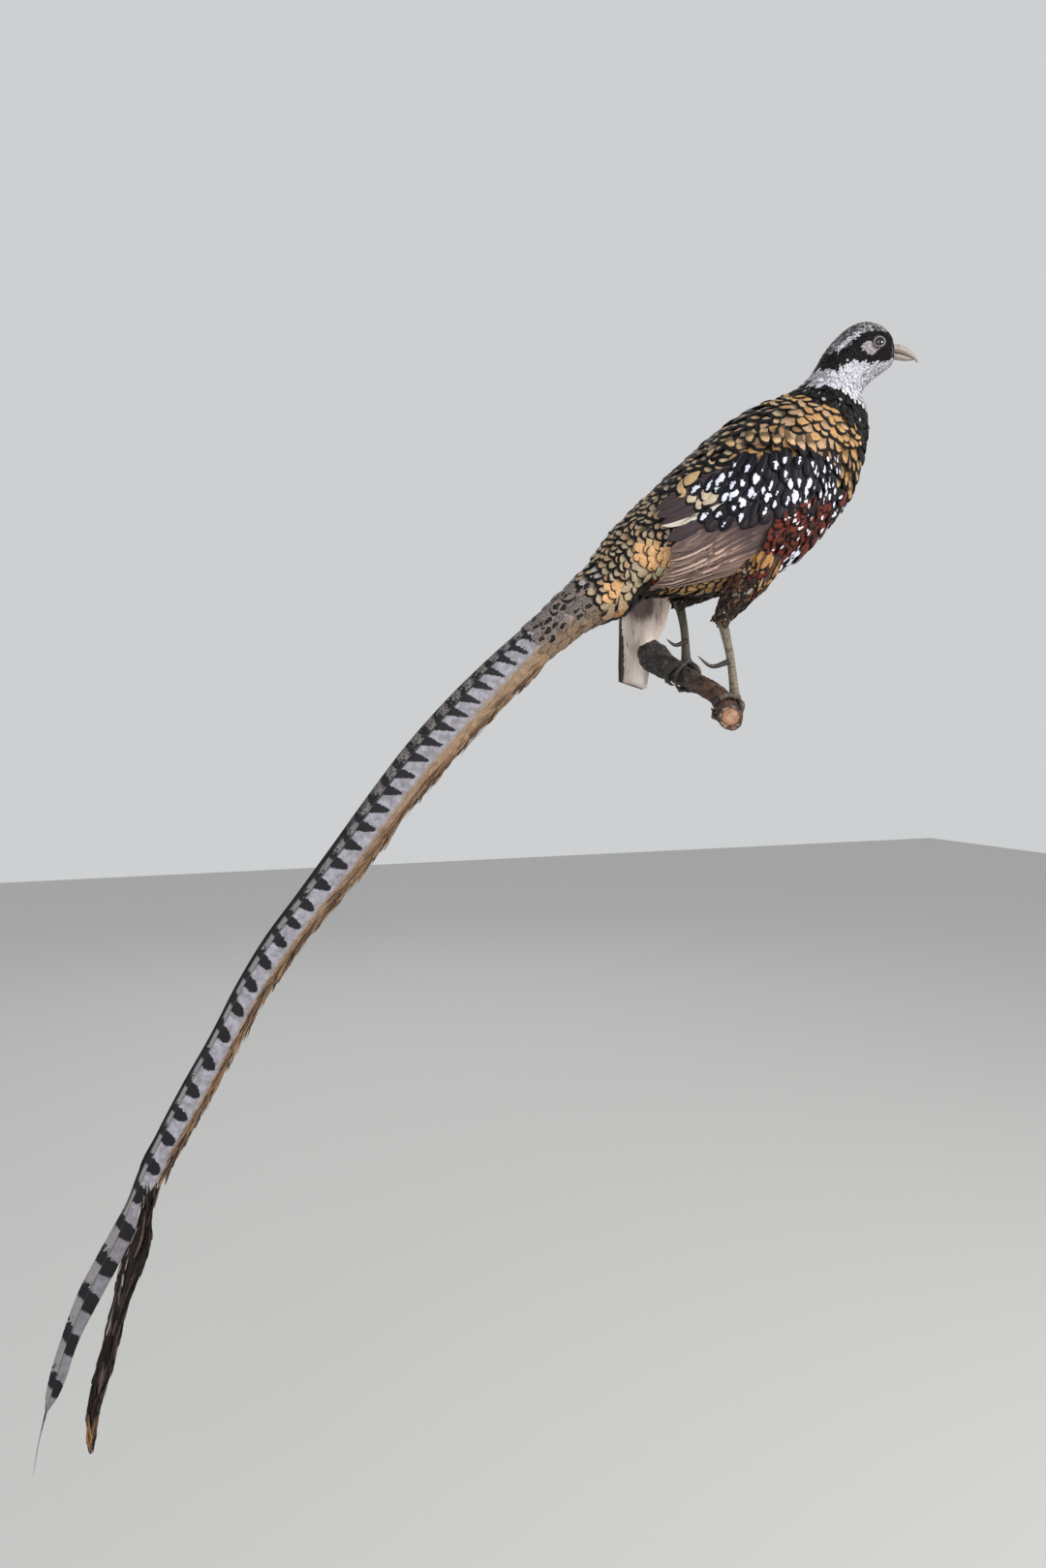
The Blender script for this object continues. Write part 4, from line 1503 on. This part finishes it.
left_tail, right_tail = [form_of(OUTLINE[TAIL_BASE:TAIL_FORK] + tip) for tip in (TIP_LEFT, TIP_RIGHT)]
tail_dice = np.random.default_rng(57)
for name, side, form, count, narrowing, nodes in (
    ("right", 1, left_tail, len(TIP_LEFT), BARE_LEFT, ["tail_tip_left", "tail_upper", "tail_middle"]),
    ("left", -1, right_tail, len(TIP_RIGHT), BARE_RIGHT, ["tail_tip_right", "tail_lower"]),
):
    rows = np.linspace(LONG_FROM, TAIL_FORK + count - 1, LONG_STEPS)
    ragged_edge = np.array([noise.noise(Vector((row * 7, side, 0))) for row in rows]) * 5
    ragged_edge += tail_dice.normal(0, 1.2, LONG_STEPS)
    notches = np.abs(ragged_edge) * (rows > TAIL_FORK) * (7 if side < 0 else 3)
    upper = np.interp(rows, *SILVER_TOP) + notches
    lower = np.interp(rows, *SILVER_LOW) + ragged_edge * (rows < TAIL_FORK) - notches
    shaft = np.interp(rows, *SHAFT_LINE)
    lines = [shaft + (line - shaft) * np.interp(rows, *narrowing) for line in (upper, shaft, lower)]
    out, bars = np.full(LONG_STEPS, 0.2), np.interp(rows, *BARS)
    parts = ribbon(form, rows - TAIL_BASE, lines, out, side, bars, LONG_COLUMNS, (0.05, 0.95))
    mesh = coat_mesh(f"long_tail_feather_{name}", *parts)
    if side < 0:
        dusky_walls = np.repeat(rows[1:] > DUSKY_FROM, 2 * LONG_COLUMNS - 2)
        dusky_faces = np.concatenate([dusky_walls, [0, 1]])  # then the root's end and the tip's
        mesh.polygons.foreach_set("material_index", dusky_faces.astype(np.int32))
    piece(f"long_tail_feather_{name}", mesh, [tail_silver, tail_dusky], "plumage_tail", *nodes)
    stacks = []
    for k, ends in enumerate(LATERALS):
        rows = np.linspace(LATERAL_FROM, ends, LATERAL_STEPS)
        to_end = (ends - rows) / (ends - LATERAL_FROM)
        taper = np.interp(to_end, [0, 0.04, 0.12, 0.3], [0.08, 0.45, 0.8, 1])
        frayed = tail_dice.normal(0, 1.0, LATERAL_STEPS) * (1 + 2 * (to_end < 0.15))
        shaft = np.interp(to_end, [0, 0.3, 1], [156, 150, 142])
        lines = [shaft - 40 * taper, shaft, np.minimum(shaft + 36 * taper + frayed, 179)]
        out, bars = 0.1 - 0.2 * k + 0.9 * (1 - taper), np.interp(rows, *BARS)
        island = ((k + 0.08) / len(LATERALS), (k + 0.92) / len(LATERALS))
        stacks.append(ribbon(body, rows, lines, out, side, bars, LATERAL_COLUMNS, island))
    mesh = coat_mesh(f"side_tail_feathers_{name}", *map(np.concatenate, zip(*stacks)))
    piece(f"side_tail_feathers_{name}", mesh, [tail_tan], "plumage_tail")


def fringe_marking(row, degrees, chance):
    return dyed(tone(156, 124, 96), 0.0, [
        (chance < 0.4, tone(114, 90, 72), 0.0),
        ((chance > 0.86) & (row > 26), tone(84, 70, 62), 0.0),
    ])


def barb_marking(row, degrees, chance):
    return dyed(tone(36, 28, 28), 0.0, [
        (chance < 0.36, tone(98, 84, 76), 0.0),
        ((row > 20) & (chance < 0.6), tone(164, 120, 80), 0.0),
        ((degrees < 60) & (chance < 0.14), tone(168, 158, 150), 0.0),
    ])


row = tail_dice.uniform(20.2, 31.6, FRINGE)
angle = np.radians(tail_dice.uniform(138, 176, FRINGE)) * tail_dice.choice([-1, 1], FRINGE)
length, width = tail_dice.uniform(20, 36, FRINGE), tail_dice.uniform(0.7, 1.5, FRINGE)
coat(
    "tail_fringe", body, row, angle, length, width, fringe_marking, "plumage_tail",
    dice=tail_dice, deep=lambda rows: 0.5, over=0.0, loose=(-0.3, 4.6), **STRAY,
)
row = tail_dice.uniform(14.0, 20.6, BARBS)
edge = tail_dice.choice([0.0, math.pi], BARBS)
angle = edge + tail_dice.normal(0, 0.7, BARBS)
length, width = tail_dice.uniform(16, 34, BARBS), tail_dice.uniform(0.5, 1.3, BARBS)
outward = -0.12 * np.sin(angle - edge) * np.sign(tail_dice.normal(0, 1, BARBS))
coat(
    "tail_tip_barbs", right_tail, row, angle, length, width, barb_marking, "plumage_tail",
    dice=tail_dice, deep=lambda rows: 0.4, loose=(-0.2, 1.8), turn=outward, **STRAY,
)

# ---------------------------------------------------------------- the room
# A plain pale floor and wall with soft studio light, and the camera, level with the branch.

CAMERA_AT = (-0.584, -1.1165, -0.101)
CAMERA_TURN = (86.95, 0.0, -21.4)  # degrees
LENS, SENSOR = 24.015, 36.0
FLOOR_HEIGHT = -1.05

bpy.context.scene.view_settings.view_transform = "Standard"

wall_paint = Finish("pale_backdrop", Roughness=0.9)
wall_paint.shader.inputs["Base Color"].default_value = tone(196, 196, 193)
floor_shape = bmesh.new()
bmesh.ops.create_grid(floor_shape, x_segments=1, y_segments=1, size=6.0)
bmesh.ops.translate(floor_shape, verts=floor_shape.verts, vec=Vector((0, 0, FLOOR_HEIGHT)))
floor_mesh = bpy.data.meshes.new("floor")
floor_shape.to_mesh(floor_mesh)
floor_shape.free()
floor = bpy.data.objects.new("floor", floor_mesh)
floor_mesh.materials.append(wall_paint.material)
bpy.context.scene.collection.objects.link(floor)

studio = bpy.data.worlds.new("studio")
bpy.context.scene.world = studio
studio.use_nodes = True
studio.node_tree.nodes["Background"].inputs["Color"].default_value = tone(224, 226, 228)
studio.node_tree.nodes["Background"].inputs["Strength"].default_value = 0.82


def lamp(name, at, aim, size, watts, colour):
    light = bpy.data.lights.new(name, "AREA")
    light.size = size
    light.energy = watts
    light.color = colour
    obj = bpy.data.objects.new(name, light)
    obj.location = at
    obj.rotation_euler = (Vector(aim) - Vector(at)).to_track_quat("-Z", "Y").to_euler()
    bpy.context.scene.collection.objects.link(obj)


lamp("key_lamp", (1.2, -2.0, 0.7), (-0.05, -0.1, 0.0), 0.5, 48, (1.0, 0.99, 0.97))
lamp("fill_lamp", (-2.0, -2.2, 0.9), (-0.2, -0.1, -0.1), 1.4, 26, (0.96, 0.98, 1.0))
lamp("back_lamp", (0.2, 2.4, 1.6), (-0.2, 0.0, -0.1), 1.8, 16, (1.0, 1.0, 1.0))

camera = bpy.data.objects.new("camera", bpy.data.cameras.new("camera"))
camera.location = CAMERA_AT
camera.rotation_euler = [math.radians(turn) for turn in CAMERA_TURN]
camera.data.lens = LENS
camera.data.sensor_width = SENSOR
camera.data.clip_start = 0.01
bpy.context.scene.collection.objects.link(camera)
bpy.context.scene.camera = camera
